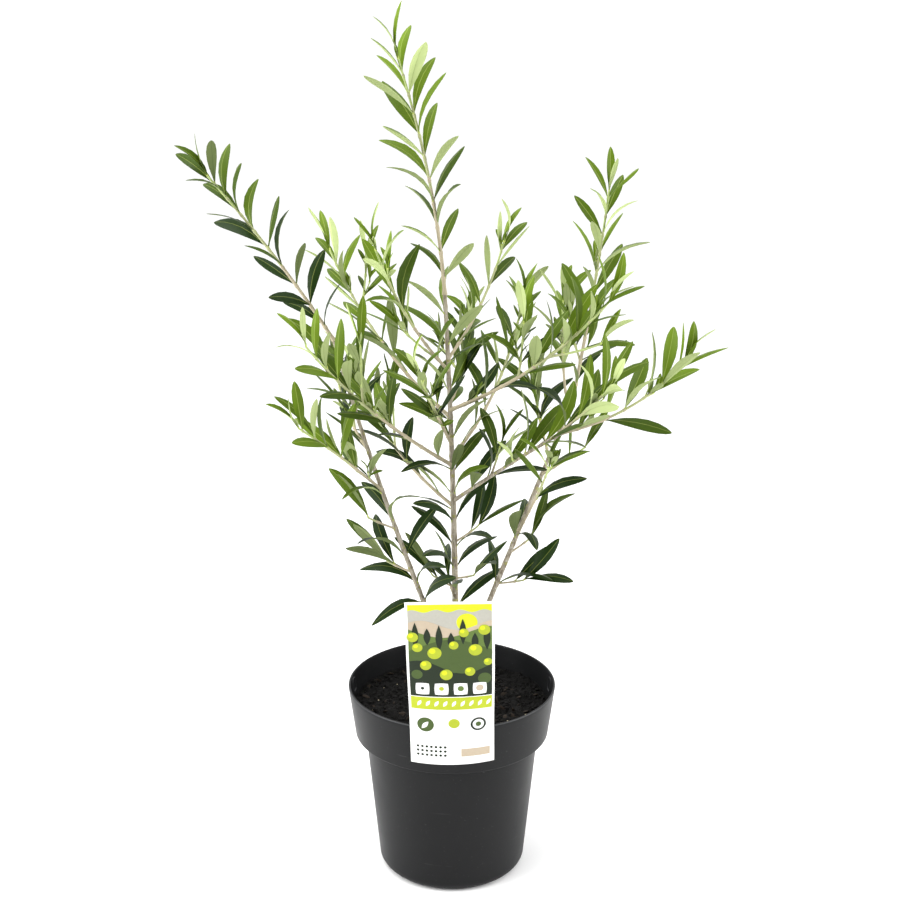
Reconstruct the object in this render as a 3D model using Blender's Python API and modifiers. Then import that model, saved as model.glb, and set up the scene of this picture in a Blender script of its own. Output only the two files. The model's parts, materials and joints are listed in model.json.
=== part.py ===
"""Potted olive tree.

A young olive with three slender stems grows in a round nursery pot, with its potting mix and a plant
label hooked over the rim. Stems and shoots are limbs whose heading climbs and turns steadily, and
every leafy shoot is grown from its stem by one seeded rule. Sizes are in metres, +Z is up, and the
origin is the centre of the pot's underside.
"""

import math
import random
from collections import namedtuple

import bmesh
import bpy
from mathutils import Quaternion, Vector
from mathutils.bvhtree import BVHTree

GAP = 0.0003  # clearance between pieces that touch
MERGE = 0.000002

# Pot: a flared lip stands out from a tapering body.
POT_HEIGHT = 0.188
RIM_RADIUS = 0.100
LIP_FOOT_RADIUS = 0.0935
LIP_FOOT_HEIGHT = 0.1385
LIP_FOOT_ROUND = 0.0025
BODY_TOP_RADIUS = 0.084
BASE_RADIUS = 0.0715
BASE_ROUND = 0.010
POT_WALL = 0.0022
POT_FLOOR = 0.003
POT_SIDES = 48

# Potting mix
SOIL_TOP = 0.1665

# Label: a card that lies on the lip and leans outwards above it, with a tongue hooked over the rim.
LABEL_WIDTH = 0.078
LABEL_RISE = 0.1355
LABEL_DROP = 0.0385
LABEL_LEAN = 10.0
LABEL_ROLL = 1.0
LABEL_FLAT_AT = 0.11  # height above the rim where its bow has gone
LABEL_MOST_FLAT = 0.98  # keeps a trace of bow, so that it never divides by zero
CARD = 0.0006
TONGUE_WIDTH = 0.030

# Limbs: azimuth is counted from +X towards +Y and rise from the horizontal, both at the foot and in
# degrees. Over the limb's length the rise changes by lift and the azimuth by swing. A limb leaves its
# parent's middle line at the distance "at" from the parent's foot.
Limb = namedtuple("Limb", "parent at azimuth rise length lift swing foot tip")
TRUNK_FOOT = (0.004, 0.0)
TRUNK_FLARE = 0.0032
FLARE_LENGTH = 0.012
FLARE_RINGS = 5
TRUNK = Limb(None, 0.0, 0, 90, 0.400, 3, 0, 0.0036, 0.0018)
BOUGHS = {
    "bough_left": Limb("trunk", 0.022, 195, 69, 0.354, 5, -33, 0.0028, 0.0016),
    "bough_right": Limb("trunk", 0.022, 17, 67, 0.295, 0, 2, 0.0029, 0.0018),
    "bough_right_low": Limb("trunk", 0.205, -35, 38, 0.139, -3, 5, 0.0018, 0.0014),
}
BOUGH_STEP = 0.025
CURVE_STEPS = 40
TAPER_POWER = 0.85

# Leafy shoots, with the length of their leaves.
Shoot = namedtuple("Shoot", "parent at azimuth rise length lift swing leaf")
SHOOTS = {
    "leader_top": Shoot("trunk", 0.400, 184, 86, 0.211, -15, 22, 0.062),
    "left_top": Shoot("bough_left", 0.354, 194, 59, 0.185, -9, -4, 0.056),
    "right_top": Shoot("bough_right", 0.295, -24, 80, 0.202, -1, -41, 0.054),
    "right_top_inner": Shoot("bough_right", 0.284, 104, 54, 0.107, 17, -22, 0.053),
    "right_end": Shoot("bough_right_low", 0.139, -6, 14, 0.124, 34, 8, 0.060),
    "right_end_front": Shoot("bough_right_low", 0.130, -60, 35, 0.101, 8, 9, 0.060),
    "left_front": Shoot("trunk", 0.240, 214, 33, 0.218, 13, 19, 0.058),
    "left_back_low": Shoot("trunk", 0.200, 152, 30, 0.175, 7, -45, 0.057),
    "left_low": Shoot("bough_left", 0.208, 226, 42, 0.125, -6, -2, 0.053),
    "left_back_high": Shoot("trunk", 0.286, 136, 24, 0.214, 33, 1, 0.058),
    "left_front_high": Shoot("trunk", 0.330, 226, 42, 0.160, 17, 15, 0.057),
    "right_back_high": Shoot("trunk", 0.341, 46, 38, 0.129, 22, 12, 0.053),
    "right_front_high": Shoot("trunk", 0.293, -33, 25, 0.210, 21, -13, 0.058),
    "right_back": Shoot("trunk", 0.248, 51, 27, 0.186, 34, 16, 0.057),
    "right_low": Shoot("bough_right", 0.218, -47, 34, 0.064, 4, 7, 0.055),
    "front": Shoot("trunk", 0.260, -104, 38, 0.155, -2, 3, 0.054),
    "back": Shoot("trunk", 0.300, 78, 6, 0.148, 28, 10, 0.056),
    "left_back": Shoot("bough_left", 0.248, 114, 12, 0.133, 26, -11, 0.054),
    "right_front": Shoot("bough_right", 0.159, -72, 46, 0.144, -8, -13, 0.056),
    "right_back_low": Shoot("bough_right", 0.236, 94, 11, 0.124, 26, 4, 0.056),
    "foot_left": Shoot("bough_left", 0.168, 190, 22, 0.030, 8, 0, 0.064),
    "foot_left_low": Shoot("bough_left", 0.122, 158, 12, 0.028, 8, 0, 0.062),
    "foot_left_inner": Shoot("trunk", 0.118, 172, 24, 0.026, 8, 0, 0.054),
    "foot_front": Shoot("trunk", 0.128, -48, 18, 0.030, 8, 0, 0.066),
    "foot_high": Shoot("trunk", 0.164, 18, 26, 0.028, 8, 0, 0.060),
    "foot_right": Shoot("bough_right", 0.104, -12, 8, 0.028, 8, 0, 0.060),
    "foot_right_high": Shoot("bough_right", 0.136, 28, 22, 0.028, 8, 0, 0.062),
    "foot_back": Shoot("trunk", 0.104, 104, 22, 0.030, 8, 0, 0.062),
    "inner_right": Shoot("bough_right_low", 0.052, 42, 62, 0.028, 8, 0, 0.054),
    "outer_right": Shoot("bough_right_low", 0.084, -98, 14, 0.028, 8, 0, 0.056),
}
SHOOT_TIP = 0.0009
SHOOT_GAIN = 0.0045  # how much thicker a shoot's foot is for each metre of its length
SHOOT_STEP = 0.020

# The rule that a shoot follows: crossed pairs of leaves, closer together towards the tip.
FIRST_PAIR = 0.014
PITCH = 0.0240
PITCH_CLOSING = 0.35
END_BARE = 0.006
SPLAY_FOOT = 62.0
SPLAY_TIP = 45.0
END_SPLAY = 22.0  # of the last pair, which closes round the bud
END_TURN = 45.0
UPWARD = 0.22  # how strongly a leaf's heading turns up
FACE_UP = 0.6  # how strongly its upper side turns up
TURN_SPREAD = 20.0
SPIN_SPREAD = 14.0
SPLAY_SPREAD = 7.0
ROLL_SPREAD = 42.0
LENGTH_SPREAD = 0.13

# Leaves: their length, as a share of the shoot's own, runs from the foot over a middle rise to the tip.
LEAF_AT_FOOT = 0.84
LEAF_RISE = 0.20
LEAF_FALL = 0.08
END_LEAF = 0.92  # the last pair's, on the shortest shoot
END_LEAF_LOSS = 0.18  # how much of that the longest shoots lose
LEAF_WIDTH = 0.20
LEAF_THICKNESS = 0.022
LEAF_WAIST = 0.45  # where along its length a leaf is widest
ROOT_SINK = 0.0006
TIP_SINK = 0.0015

# Side twigs
TWIG_CHANCE = 0.16
TWIG_FROM = 0.10
TWIG_TO = 0.75
TWIG_LENGTH = 0.046
TWIG_LENGTH_SPREAD = 0.2
TWIG_SPLAY = 38.0
TWIG_LIFT = 12.0
TWIG_FOOT = 0.0011
TWIG_LEAF = 0.85
TWIG_SHOOT_LENGTH = 0.10  # only longer shoots carry side twigs

# A shoot keeps to its own space, clear of everything else.
SPACE = 0.075  # how far it reaches round its stem
CLEARANCE = 0.0008
TURNS = (0.0, 32.0, -32.0, 64.0, -64.0)  # turns about the stem that a blocked leaf tries

Leaf = namedtuple("Leaf", "base heading face length")


def clear_scene():
    for item in list(bpy.data.objects):
        bpy.data.objects.remove(item, do_unlink=True)


def new_collection(name):
    collection = bpy.data.collections.new(name)
    bpy.context.scene.collection.children.link(collection)
    return collection


def new_material(name, colour, roughness):
    material = bpy.data.materials.new(name)
    material.use_nodes = True
    shader = material.node_tree.nodes["Principled BSDF"]
    shader.inputs["Base Color"].default_value = (*colour, 1.0)
    shader.inputs["Roughness"].default_value = roughness
    shader.inputs["Metallic"].default_value = 0.0
    return material


def pot_plastic():
    return new_material("pot_plastic", (0.045, 0.047, 0.052), 0.5)


def mix_material():
    return new_material("potting_mix", (0.02, 0.015, 0.011), 0.95)


def label_card():
    return new_material("label_card", (0.62, 0.72, 0.12), 0.4)


def bark():
    return new_material("bark", (0.30, 0.27, 0.20), 0.85)


def leafage():
    return new_material("leafage", (0.16, 0.27, 0.07), 0.55)


def add_object(name, mesh, collection, material):
    """Puts a finished mesh into the scene, shaded smooth except at its sharp edges."""
    item = bpy.data.objects.new(name, mesh)
    collection.objects.link(item)
    if material is not None:
        mesh.materials.clear()
        mesh.materials.append(material)
    mesh.shade_smooth()
    mesh.set_sharp_from_angle(angle=math.radians(35))
    return item


def evaluated_mesh(item):
    """The item's mesh with its modifiers applied."""
    bpy.context.view_layer.update()
    depsgraph = bpy.context.evaluated_depsgraph_get()
    return bpy.data.meshes.new_from_object(item.evaluated_get(depsgraph))


def arc(centre, radius, start, end, steps):
    """Points of a profile's rounding, with its angles in degrees from +X towards +Z."""
    points = []
    for step in range(steps + 1):
        angle = math.radians(start + (end - start) * step / steps)
        points.append((centre[0] + radius * math.cos(angle), centre[1] + radius * math.sin(angle)))
    return points


def turned(name, profile, collection, material):
    """Turns a profile of (radius, height) points, which runs down its outer side, about Z."""
    mesh = bpy.data.meshes.new(name)
    points = [(radius, 0.0, height) for radius, height in profile]
    mesh.from_pydata(points, [(i, i + 1) for i in range(len(points) - 1)], [])
    item = add_object(name, mesh, collection, material)
    screw = item.modifiers.new("turn", "SCREW")
    screw.steps = POT_SIDES
    screw.render_steps = POT_SIDES
    screw.use_merge_vertices = True
    screw.merge_threshold = 0.0001
    return item


def lip_radius(height):
    """Outer radius of the flared lip at a height."""
    part = (height - LIP_FOOT_HEIGHT) / (POT_HEIGHT - LIP_FOOT_HEIGHT)
    return LIP_FOOT_RADIUS + (RIM_RADIUS - LIP_FOOT_RADIUS) * part


def body_radius(height):
    """Outer radius of the tapering body at a height."""
    part = (height - BASE_ROUND) / (LIP_FOOT_HEIGHT - BASE_ROUND)
    return BASE_RADIUS + (BODY_TOP_RADIUS - BASE_RADIUS) * part


def inner_outline(inset, top):
    """The inside of the pot from its floor's edge up to a height, moved inwards by inset."""
    floor = POT_FLOOR + inset
    shelf = LIP_FOOT_HEIGHT + POT_WALL + inset
    shrink = POT_WALL + inset
    return [
        (BASE_RADIUS - BASE_ROUND, floor),
        (body_radius(BASE_ROUND) - shrink, floor + BASE_ROUND - POT_FLOOR),
        (body_radius(LIP_FOOT_HEIGHT) - shrink, shelf),
        (lip_radius(shelf) - shrink, shelf),
        (lip_radius(top) - shrink, top),
    ]


def make_pot(collection):
    """The pot's wall as one profile: up the inside, over the rounded rim and down the outside."""
    half = POT_WALL / 2
    rim_foot = POT_HEIGHT - half
    inside = [(0.0, POT_FLOOR)] + inner_outline(0.0, rim_foot)[:-1]
    rim = arc((lip_radius(rim_foot) - half, rim_foot), half, 180, 0, 4)
    lip_round = LIP_FOOT_HEIGHT + LIP_FOOT_ROUND
    lip_foot = arc((lip_radius(lip_round) - LIP_FOOT_ROUND, lip_round), LIP_FOOT_ROUND, 0, -90, 3)
    body = [(BODY_TOP_RADIUS, LIP_FOOT_HEIGHT)]
    base = arc((BASE_RADIUS - BASE_ROUND, BASE_ROUND), BASE_ROUND, 0, -90, 3)
    outline = inside + rim + lip_foot + body + base + [(0.0, 0.0)]
    return turned("pot", outline, collection, pot_plastic())


def make_mix(collection):
    """The potting mix fills the pot up to its level, clear of the wall by the gap."""
    wall = inner_outline(GAP, SOIL_TOP)
    outline = [(0.0, SOIL_TOP)] + wall[::-1] + [(0.0, POT_FLOOR + GAP)]
    return turned("potting_mix", outline, collection, mix_material())


def card_point(across, up):
    """A point on the label's back: up is measured along the card from the rim.

    Below the rim the card lies on the lip. Above it leans outwards, and its bow round the pot
    fades until it is flat.
    """
    slope = math.atan2(RIM_RADIUS - LIP_FOOT_RADIUS, POT_HEIGHT - LIP_FOOT_HEIGHT)
    lean = math.radians(LABEL_LEAN) if up > 0 else slope
    reach = RIM_RADIUS + GAP + up * math.sin(lean)
    height = POT_HEIGHT + up * math.cos(lean)
    fade = min(max(up / LABEL_FLAT_AT, 0.0), LABEL_MOST_FLAT)
    bow = (1 - fade * fade * (3 - 2 * fade)) / min(reach, RIM_RADIUS)
    angle = across * bow
    return Vector((math.sin(angle) / bow, (1 - math.cos(angle)) / bow - reach, height))


def tongue_point(across, share):
    """A point on the tongue's rim side: from inside the card, over the rim and down to the mix."""
    end_height = SOIL_TOP + GAP
    over = POT_HEIGHT + GAP
    start = (RIM_RADIUS + GAP + CARD / 2, over)
    corner = (RIM_RADIUS - POT_WALL - GAP, over)
    end = (lip_radius(end_height) - POT_WALL - GAP, end_height)
    first, second = (start, corner) if share <= 0.5 else (corner, end)
    part = share * 2 if share <= 0.5 else share * 2 - 1
    radius = first[0] + (second[0] - first[0]) * part
    height = first[1] + (second[1] - first[1]) * part
    angle = across / RIM_RADIUS
    return Vector((radius * math.sin(angle), -radius * math.cos(angle), height))


def bent_sheet(name, across_steps, along_steps, place, collection, material):
    """A flat grid whose points are moved by place(across, along), both from -0.5 to 0.5."""
    grid = bmesh.new()
    bmesh.ops.create_grid(grid, x_segments=across_steps, y_segments=along_steps, size=0.5)
    for vertex in grid.verts:
        vertex.co = place(vertex.co.x, vertex.co.y)
    mesh = bpy.data.meshes.new(name)
    grid.to_mesh(mesh)
    grid.free()
    item = add_object(name, mesh, collection, material)
    shell = item.modifiers.new("thickness", "SOLIDIFY")
    shell.thickness = CARD
    shell.offset = 1.0
    shell.use_even_offset = True
    return item


def make_label(collection, cutters):
    """The card and its tongue, joined where the tongue enters the card."""
    length = LABEL_RISE + LABEL_DROP
    roll = math.radians(LABEL_ROLL)

    def on_card(x, y):
        across = x * LABEL_WIDTH
        up = (y + 0.5) * length - LABEL_DROP
        turned_across = across * math.cos(roll) - up * math.sin(roll)
        turned_up = up * math.cos(roll) + across * math.sin(roll)
        return card_point(turned_across, turned_up)

    def on_tongue(x, y):
        return tongue_point(x * TONGUE_WIDTH, y + 0.5)

    card = bent_sheet("label", 8, 8, on_card, collection, label_card())
    tongue = bent_sheet("label_tongue", 4, 2, on_tongue, cutters, None)
    as_guide(tongue)
    join = card.modifiers.new("tongue", "BOOLEAN")
    join.operation = "UNION"
    join.object = tongue
    return card


def as_guide(item):
    item.hide_render = True
    item.display_type = "WIRE"


def limb_curve(start, limb):
    """Points of a limb's middle line, whose heading climbs by lift and turns by swing."""
    points = [Vector(start)]
    for step in range(CURVE_STEPS):
        part = (step + 0.5) / CURVE_STEPS
        azimuth = math.radians(limb.azimuth + limb.swing * part)
        rise = math.radians(limb.rise + limb.lift * part)
        level = math.cos(rise)
        heading = Vector((level * math.cos(azimuth), level * math.sin(azimuth), math.sin(rise)))
        points.append(points[-1] + heading * limb.length / CURVE_STEPS)
    return points


def point_at(curve, share):
    """The point at a share of the curve's length."""
    place = min(max(share, 0.0), 1.0) * CURVE_STEPS
    index = min(int(place), CURVE_STEPS - 1)
    return curve[index].lerp(curve[index + 1], place - index)


def heading_at(curve, share):
    index = min(int(max(share, 0.0) * CURVE_STEPS), CURVE_STEPS - 1)
    return (curve[index + 1] - curve[index]).normalized()


def limb_radius(limb, share):
    """A limb's radius at a share of its length, with the root flare on the trunk."""
    radius = limb.foot + (limb.tip - limb.foot) * share**TAPER_POWER
    if limb.parent is None:
        radius += TRUNK_FLARE * math.exp(-share * limb.length / FLARE_LENGTH)
    return radius


def tube(name, points, radii, resolution, collection, material):
    """A closed round limb along points, made from a bevelled curve."""
    curve = bpy.data.curves.new(name, "CURVE")
    curve.dimensions = "3D"
    curve.bevel_depth = 1.0
    curve.bevel_resolution = resolution
    curve.use_fill_caps = True
    spline = curve.splines.new("POLY")
    spline.points.add(len(points) - 1)
    for knot, place, radius in zip(spline.points, points, radii):
        knot.co = (*place, 1.0)
        knot.radius = radius
    holder = bpy.data.objects.new(name + "_line", curve)
    collection.objects.link(holder)
    mesh = evaluated_mesh(holder)
    bpy.data.objects.remove(holder, do_unlink=True)
    shell = bmesh.new()
    shell.from_mesh(mesh)
    bmesh.ops.remove_doubles(shell, verts=shell.verts, dist=MERGE)
    bmesh.ops.recalc_face_normals(shell, faces=shell.faces)
    shell.to_mesh(mesh)
    shell.free()
    return add_object(name, mesh, collection, material)


def limb_tube(name, limb, curve, first, step, resolution, collection, material):
    """The tube of a limb from the share first to its tip, with a ring at each step."""
    steps = max(2, round(limb.length * (1 - first) / step))
    shares = [first + (1 - first) * i / steps for i in range(steps + 1)]
    points = [point_at(curve, share) for share in shares]
    radii = [limb_radius(limb, share) for share in shares]
    return tube(name, points, radii, resolution, collection, material)


def flared_trunk(name, curve, swell, collection, material):
    """The trunk's tube, swollen by swell, with close rings in its root flare."""
    flare_end = 3 * FLARE_LENGTH / TRUNK.length
    shares = [flare_end * i / FLARE_RINGS for i in range(FLARE_RINGS)]
    steps = round(TRUNK.length * (1 - flare_end) / BOUGH_STEP)
    shares += [flare_end + (1 - flare_end) * i / steps for i in range(steps + 1)]
    points = [point_at(curve, share) for share in shares]
    radii = [limb_radius(TRUNK, share) + swell for share in shares]
    return tube(name, points, radii, 3, collection, material)


def make_limbs(collection, cutters):
    """The trunk and the boughs, each bough cut clear of its parent. Returns limbs and their curves."""
    material = bark()
    start = Vector((*TRUNK_FOOT, SOIL_TOP + GAP))
    curves = {"trunk": limb_curve(start, TRUNK)}
    flared_trunk("trunk", curves["trunk"], 0.0, collection, material)
    cutter = flared_trunk("trunk_clearance", curves["trunk"], GAP, cutters, None)
    as_guide(cutter)
    for name, bough in BOUGHS.items():
        curves[name] = limb_curve(point_at(curves["trunk"], bough.at / TRUNK.length), bough)
        item = limb_tube(name, bough, curves[name], 0.0, BOUGH_STEP, 2, collection, material)
        cut = item.modifiers.new("fork", "BOOLEAN")
        cut.operation = "DIFFERENCE"
        cut.object = cutter
    return {"trunk": TRUNK, **BOUGHS}, curves


def shoot_limb(shoot):
    """A shoot's stem as a limb, thicker at its foot the longer it is."""
    foot = SHOOT_TIP + SHOOT_GAIN * shoot.length
    return Limb(*shoot[:-1], foot, SHOOT_TIP)


def foot_share(stem, curve, parent, parent_curve):
    """The share of the stem where its end just clears its parent."""
    along = stem.at / parent.length
    radius = limb_radius(parent, along)
    cosine = abs(heading_at(curve, 0.0).dot(heading_at(parent_curve, along)))
    sine = math.sqrt(1 - cosine * cosine)
    if along >= 1.0:
        return (GAP * cosine + radius * sine) / stem.length
    return (radius + GAP + stem.foot * cosine) / sine / stem.length


def side_of(heading):
    """A unit vector square to the heading, level where it can be."""
    side = heading.cross(Vector((0.0, 0.0, 1.0)))
    if side.length < 0.05:
        side = heading.cross(Vector((0.0, 1.0, 0.0)))
    return side.normalized()


def leaf_heading(stem_heading, side, spin, splay):
    """The heading of a leaf that stands off its stem by splay, at spin about it, and turns upwards."""
    across = Quaternion(stem_heading, math.radians(spin)) @ side
    tilt = math.radians(splay)
    heading = stem_heading * math.cos(tilt) + across * math.sin(tilt)
    heading += Vector((0.0, 0.0, UPWARD))
    return heading.normalized()


def leaf_face(heading, stem_heading, roll):
    """The direction that a leaf's upper side looks: towards the stem's tip and upwards."""
    face = stem_heading + Vector((0.0, 0.0, FACE_UP))
    face -= heading * face.dot(heading)
    return Quaternion(heading, math.radians(roll)) @ face.normalized()


def leaf_shape(leaf, swell):
    """A slim leaf of eight faces as a bmesh, each half size swollen by swell."""
    shape = bmesh.new()
    bmesh.ops.create_uvsphere(shape, u_segments=4, v_segments=2, radius=1.0)
    across = leaf.heading.cross(leaf.face)
    half_width = leaf.length * LEAF_WIDTH / 2 + swell
    half_thickness = leaf.length * LEAF_THICKNESS / 2 + swell
    for vertex in shape.verts:
        x, y, z = vertex.co
        if z > 0.5:
            along = leaf.length + swell
        elif z < -0.5:
            along = 0.0
        else:
            along = leaf.length * LEAF_WAIST
        offset = across * x * half_width + leaf.face * y * half_thickness
        vertex.co = leaf.base + leaf.heading * along + offset
    bmesh.ops.recalc_face_normals(shape, faces=shape.faces)
    return shape


class Growth:
    """What has been placed so far, so that a new twig or leaf can keep clear of it."""

    def __init__(self):
        self.trees = []

    def add_mesh(self, owner, mesh):
        shape = bmesh.new()
        shape.from_mesh(mesh)
        self.trees.append((owner, BVHTree.FromBMesh(shape)))
        shape.free()

    def add_shape(self, owner, shape):
        self.trees.append((owner, BVHTree.FromBMesh(shape)))

    def blocked(self, owner, shape):
        """True where the shape meets anything that isn't the owner's."""
        probe = BVHTree.FromBMesh(shape)
        return any(name != owner and probe.overlap(tree) for name, tree in self.trees)


def grow_leaf(node, base, stem_heading, side, spin, splay, roll, length, growth, space):
    """A leaf at the first turn about its stem that stays in the space and clear of the rest."""
    for turn in TURNS:
        heading = leaf_heading(stem_heading, side, spin + turn, splay)
        leaf = Leaf(base - heading * ROOT_SINK, heading, leaf_face(heading, stem_heading, roll), length)
        probe = leaf_shape(leaf, CLEARANCE)
        free = in_space(base + heading * length, space) and not growth.blocked(node, probe)
        probe.free()
        if free:
            return leaf
    return None


def in_space(point, curve):
    """True within the reach of a shoot's space round its stem."""
    return min((point - place).length for place in curve) < SPACE


def node_shares(length, first):
    """Where along a stem its pairs of leaves stand, closer together towards the tip."""
    distance = first
    shares = []
    while distance < length - END_BARE:
        shares.append(distance / length)
        distance += PITCH * (1 - PITCH_CLOSING * distance / length)
    return shares


def leaf_profile(share):
    """How long a leaf is at a share of its shoot, from the foot over the middle to the tip."""
    return LEAF_AT_FOOT + LEAF_RISE * math.sin(math.pi * share) - LEAF_FALL * share


def spread(rng, size):
    return rng.uniform(-size, size)


def sprout(node, curve, length, leaf_length, first, with_twigs, rng, growth, space):
    """Pairs of leaves crosswise along a stem. Where a side twig starts, it takes a leaf's place."""
    leaves = []
    twigs = []
    side = side_of(heading_at(curve, 0.0))
    turn = spread(rng, TURN_SPREAD)
    for count, share in enumerate(node_shares(length, first)):
        heading = heading_at(curve, share)
        side = (side - heading * side.dot(heading)).normalized()
        base = point_at(curve, share)
        twig_hand = rng.choice((0, 180))
        with_twig = rng.random() < TWIG_CHANCE and with_twigs and TWIG_FROM < share < TWIG_TO
        for hand in (0, 180):
            spin = turn + 90 * count + hand + spread(rng, SPIN_SPREAD)
            splay = SPLAY_FOOT + (SPLAY_TIP - SPLAY_FOOT) * share + spread(rng, SPLAY_SPREAD)
            roll = spread(rng, ROLL_SPREAD)
            size = leaf_length * leaf_profile(share) * (1 + spread(rng, LENGTH_SPREAD))
            if with_twig and hand == twig_hand:
                twigs.append((base, leaf_heading(heading, side, spin, TWIG_SPLAY)))
                continue
            leaves.append(grow_leaf(node, base, heading, side, spin, splay, roll, size, growth, space))
    heading = heading_at(curve, 1.0)
    side = (side - heading * side.dot(heading)).normalized()
    base = curve[-1] - heading * TIP_SINK
    end_length = leaf_length * (END_LEAF - END_LEAF_LOSS * min(length / TWIG_SHOOT_LENGTH, 1.0))
    for hand in (0, 180):
        size = end_length * (1 + spread(rng, LENGTH_SPREAD))
        spin = turn + END_TURN + hand + spread(rng, SPIN_SPREAD)
        leaves.append(grow_leaf(node, base, heading, side, spin, END_SPLAY, 0.0, size, growth, space))
    return [leaf for leaf in leaves if leaf], twigs


def twig_limb(heading, length):
    """A side twig as a limb that bends a little upwards."""
    azimuth = math.degrees(math.atan2(heading.y, heading.x))
    rise = math.degrees(math.asin(heading.z))
    return Limb("stem", 0.0, azimuth, rise, length, TWIG_LIFT, 0, TWIG_FOOT, SHOOT_TIP)


def drop_scraps(mesh):
    """Keeps the largest connected shell of a mesh, which also fills a sealed hollow."""
    shell = bmesh.new()
    shell.from_mesh(mesh)
    left = set(shell.faces)
    shells = []
    while left:
        group = {left.pop()}
        front = list(group)
        while front:
            touching = {face for edge in front.pop().edges for face in edge.link_faces} & left
            left -= touching
            group |= touching
            front += touching
        shells.append(group)
    shells.sort(key=len)
    scraps = [face for group in shells[:-1] for face in group]
    bmesh.ops.delete(shell, geom=scraps, context="FACES")
    shell.to_mesh(mesh)
    shell.free()
    return mesh


def fuse(stem, pieces, name):
    """Joins the pieces into the stem by one union, then removes them."""
    join = stem.modifiers.new("join", "BOOLEAN")
    join.operation = "UNION"
    join.operand_type = "COLLECTION"
    join.collection = pieces
    mesh = drop_scraps(evaluated_mesh(stem))
    mesh.name = name
    stem.modifiers.clear()
    stem.data = mesh
    for item in list(pieces.objects):
        bpy.data.objects.remove(item, do_unlink=True)


def make_twig(node, base, heading, length, growth, space, pieces):
    """A side twig's tube and curve, or None where it would leave the space or meet something."""
    limb = twig_limb(heading, length)
    curve = limb_curve(base, limb)
    item = limb_tube(node + "_twig", limb, curve, 0.0, SHOOT_STEP, 0, pieces, None)
    shape = bmesh.new()
    shape.from_mesh(item.data)
    crossed = growth.blocked(node, shape) or not in_space(curve[-1], space)
    shape.free()
    if crossed:
        bpy.data.objects.remove(item, do_unlink=True)
        return None
    growth.add_mesh(node, item.data)
    return curve


def make_shoot(node, stem, curve, shoot, first, growth, pieces):
    """Grows one shoot's twigs and leaves and joins them to its stem."""
    rng = random.Random(node)
    with_twigs = shoot.length > TWIG_SHOOT_LENGTH
    first_pair = first * shoot.length + FIRST_PAIR
    size = (shoot.length, shoot.leaf, first_pair)
    leaves, twigs = sprout(node, curve, *size, with_twigs, rng, growth, curve)
    for base, heading in twigs:
        length = TWIG_LENGTH * (1 + spread(rng, TWIG_LENGTH_SPREAD))
        twig = make_twig(node, base, heading, length, growth, curve, pieces)
        if twig:
            size = (length, shoot.leaf * TWIG_LEAF, FIRST_PAIR)
            leaves += sprout(node, twig, *size, False, rng, growth, curve)[0]
    for leaf in leaves:
        shape = leaf_shape(leaf, 0.0)
        growth.add_shape(node, shape)
        mesh = bpy.data.meshes.new(node + "_leaf")
        shape.to_mesh(mesh)
        shape.free()
        add_object(node + "_leaf", mesh, pieces, None)
    fuse(stem, pieces, node)


def make_foliage(collection, limbs, curves):
    """Every leafy shoot. All stems come first, so that the leaves can keep clear of them."""
    material = leafage()
    growth = Growth()
    for item in collection.objects:
        growth.add_mesh(item.name, evaluated_mesh(item))
    pieces = new_collection("joining")
    stems = {}
    for name, shoot in SHOOTS.items():
        node = "foliage_" + name
        limb = shoot_limb(shoot)
        parent = limbs[shoot.parent]
        parent_curve = curves[shoot.parent]
        curve = limb_curve(point_at(parent_curve, shoot.at / parent.length), limb)
        first = foot_share(limb, curve, parent, parent_curve)
        stem = limb_tube(node, limb, curve, first, SHOOT_STEP, 0, collection, material)
        growth.add_mesh(node, stem.data)
        stems[node] = (stem, curve, shoot, first)
    for node, (stem, curve, shoot, first) in stems.items():
        make_shoot(node, stem, curve, shoot, first, growth, pieces)
    bpy.data.collections.remove(pieces)


def main():
    clear_scene()
    plant = new_collection("potted_olive_tree")
    cutters = new_collection("cutters")
    make_pot(plant)
    make_mix(plant)
    make_label(plant, cutters)
    limbs, curves = make_limbs(plant, cutters)
    make_foliage(plant, limbs, curves)


main()
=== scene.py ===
"""Potted olive tree: the finish of every surface.

Each operator makes one piece, or one group of like pieces, from whole numpy arrays, and the panel in
the 3D view's sidebar lists them with the sizes and colours to change. Shoots, twigs and leaves grow
from the limbs by the rule of the solids, and carry on to finer twigs within the same reach. Sizes are
in metres, +Z is up, and the origin is the centre of the pot's underside.
"""

import functools
import json
import math
import random
from collections import namedtuple

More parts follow.
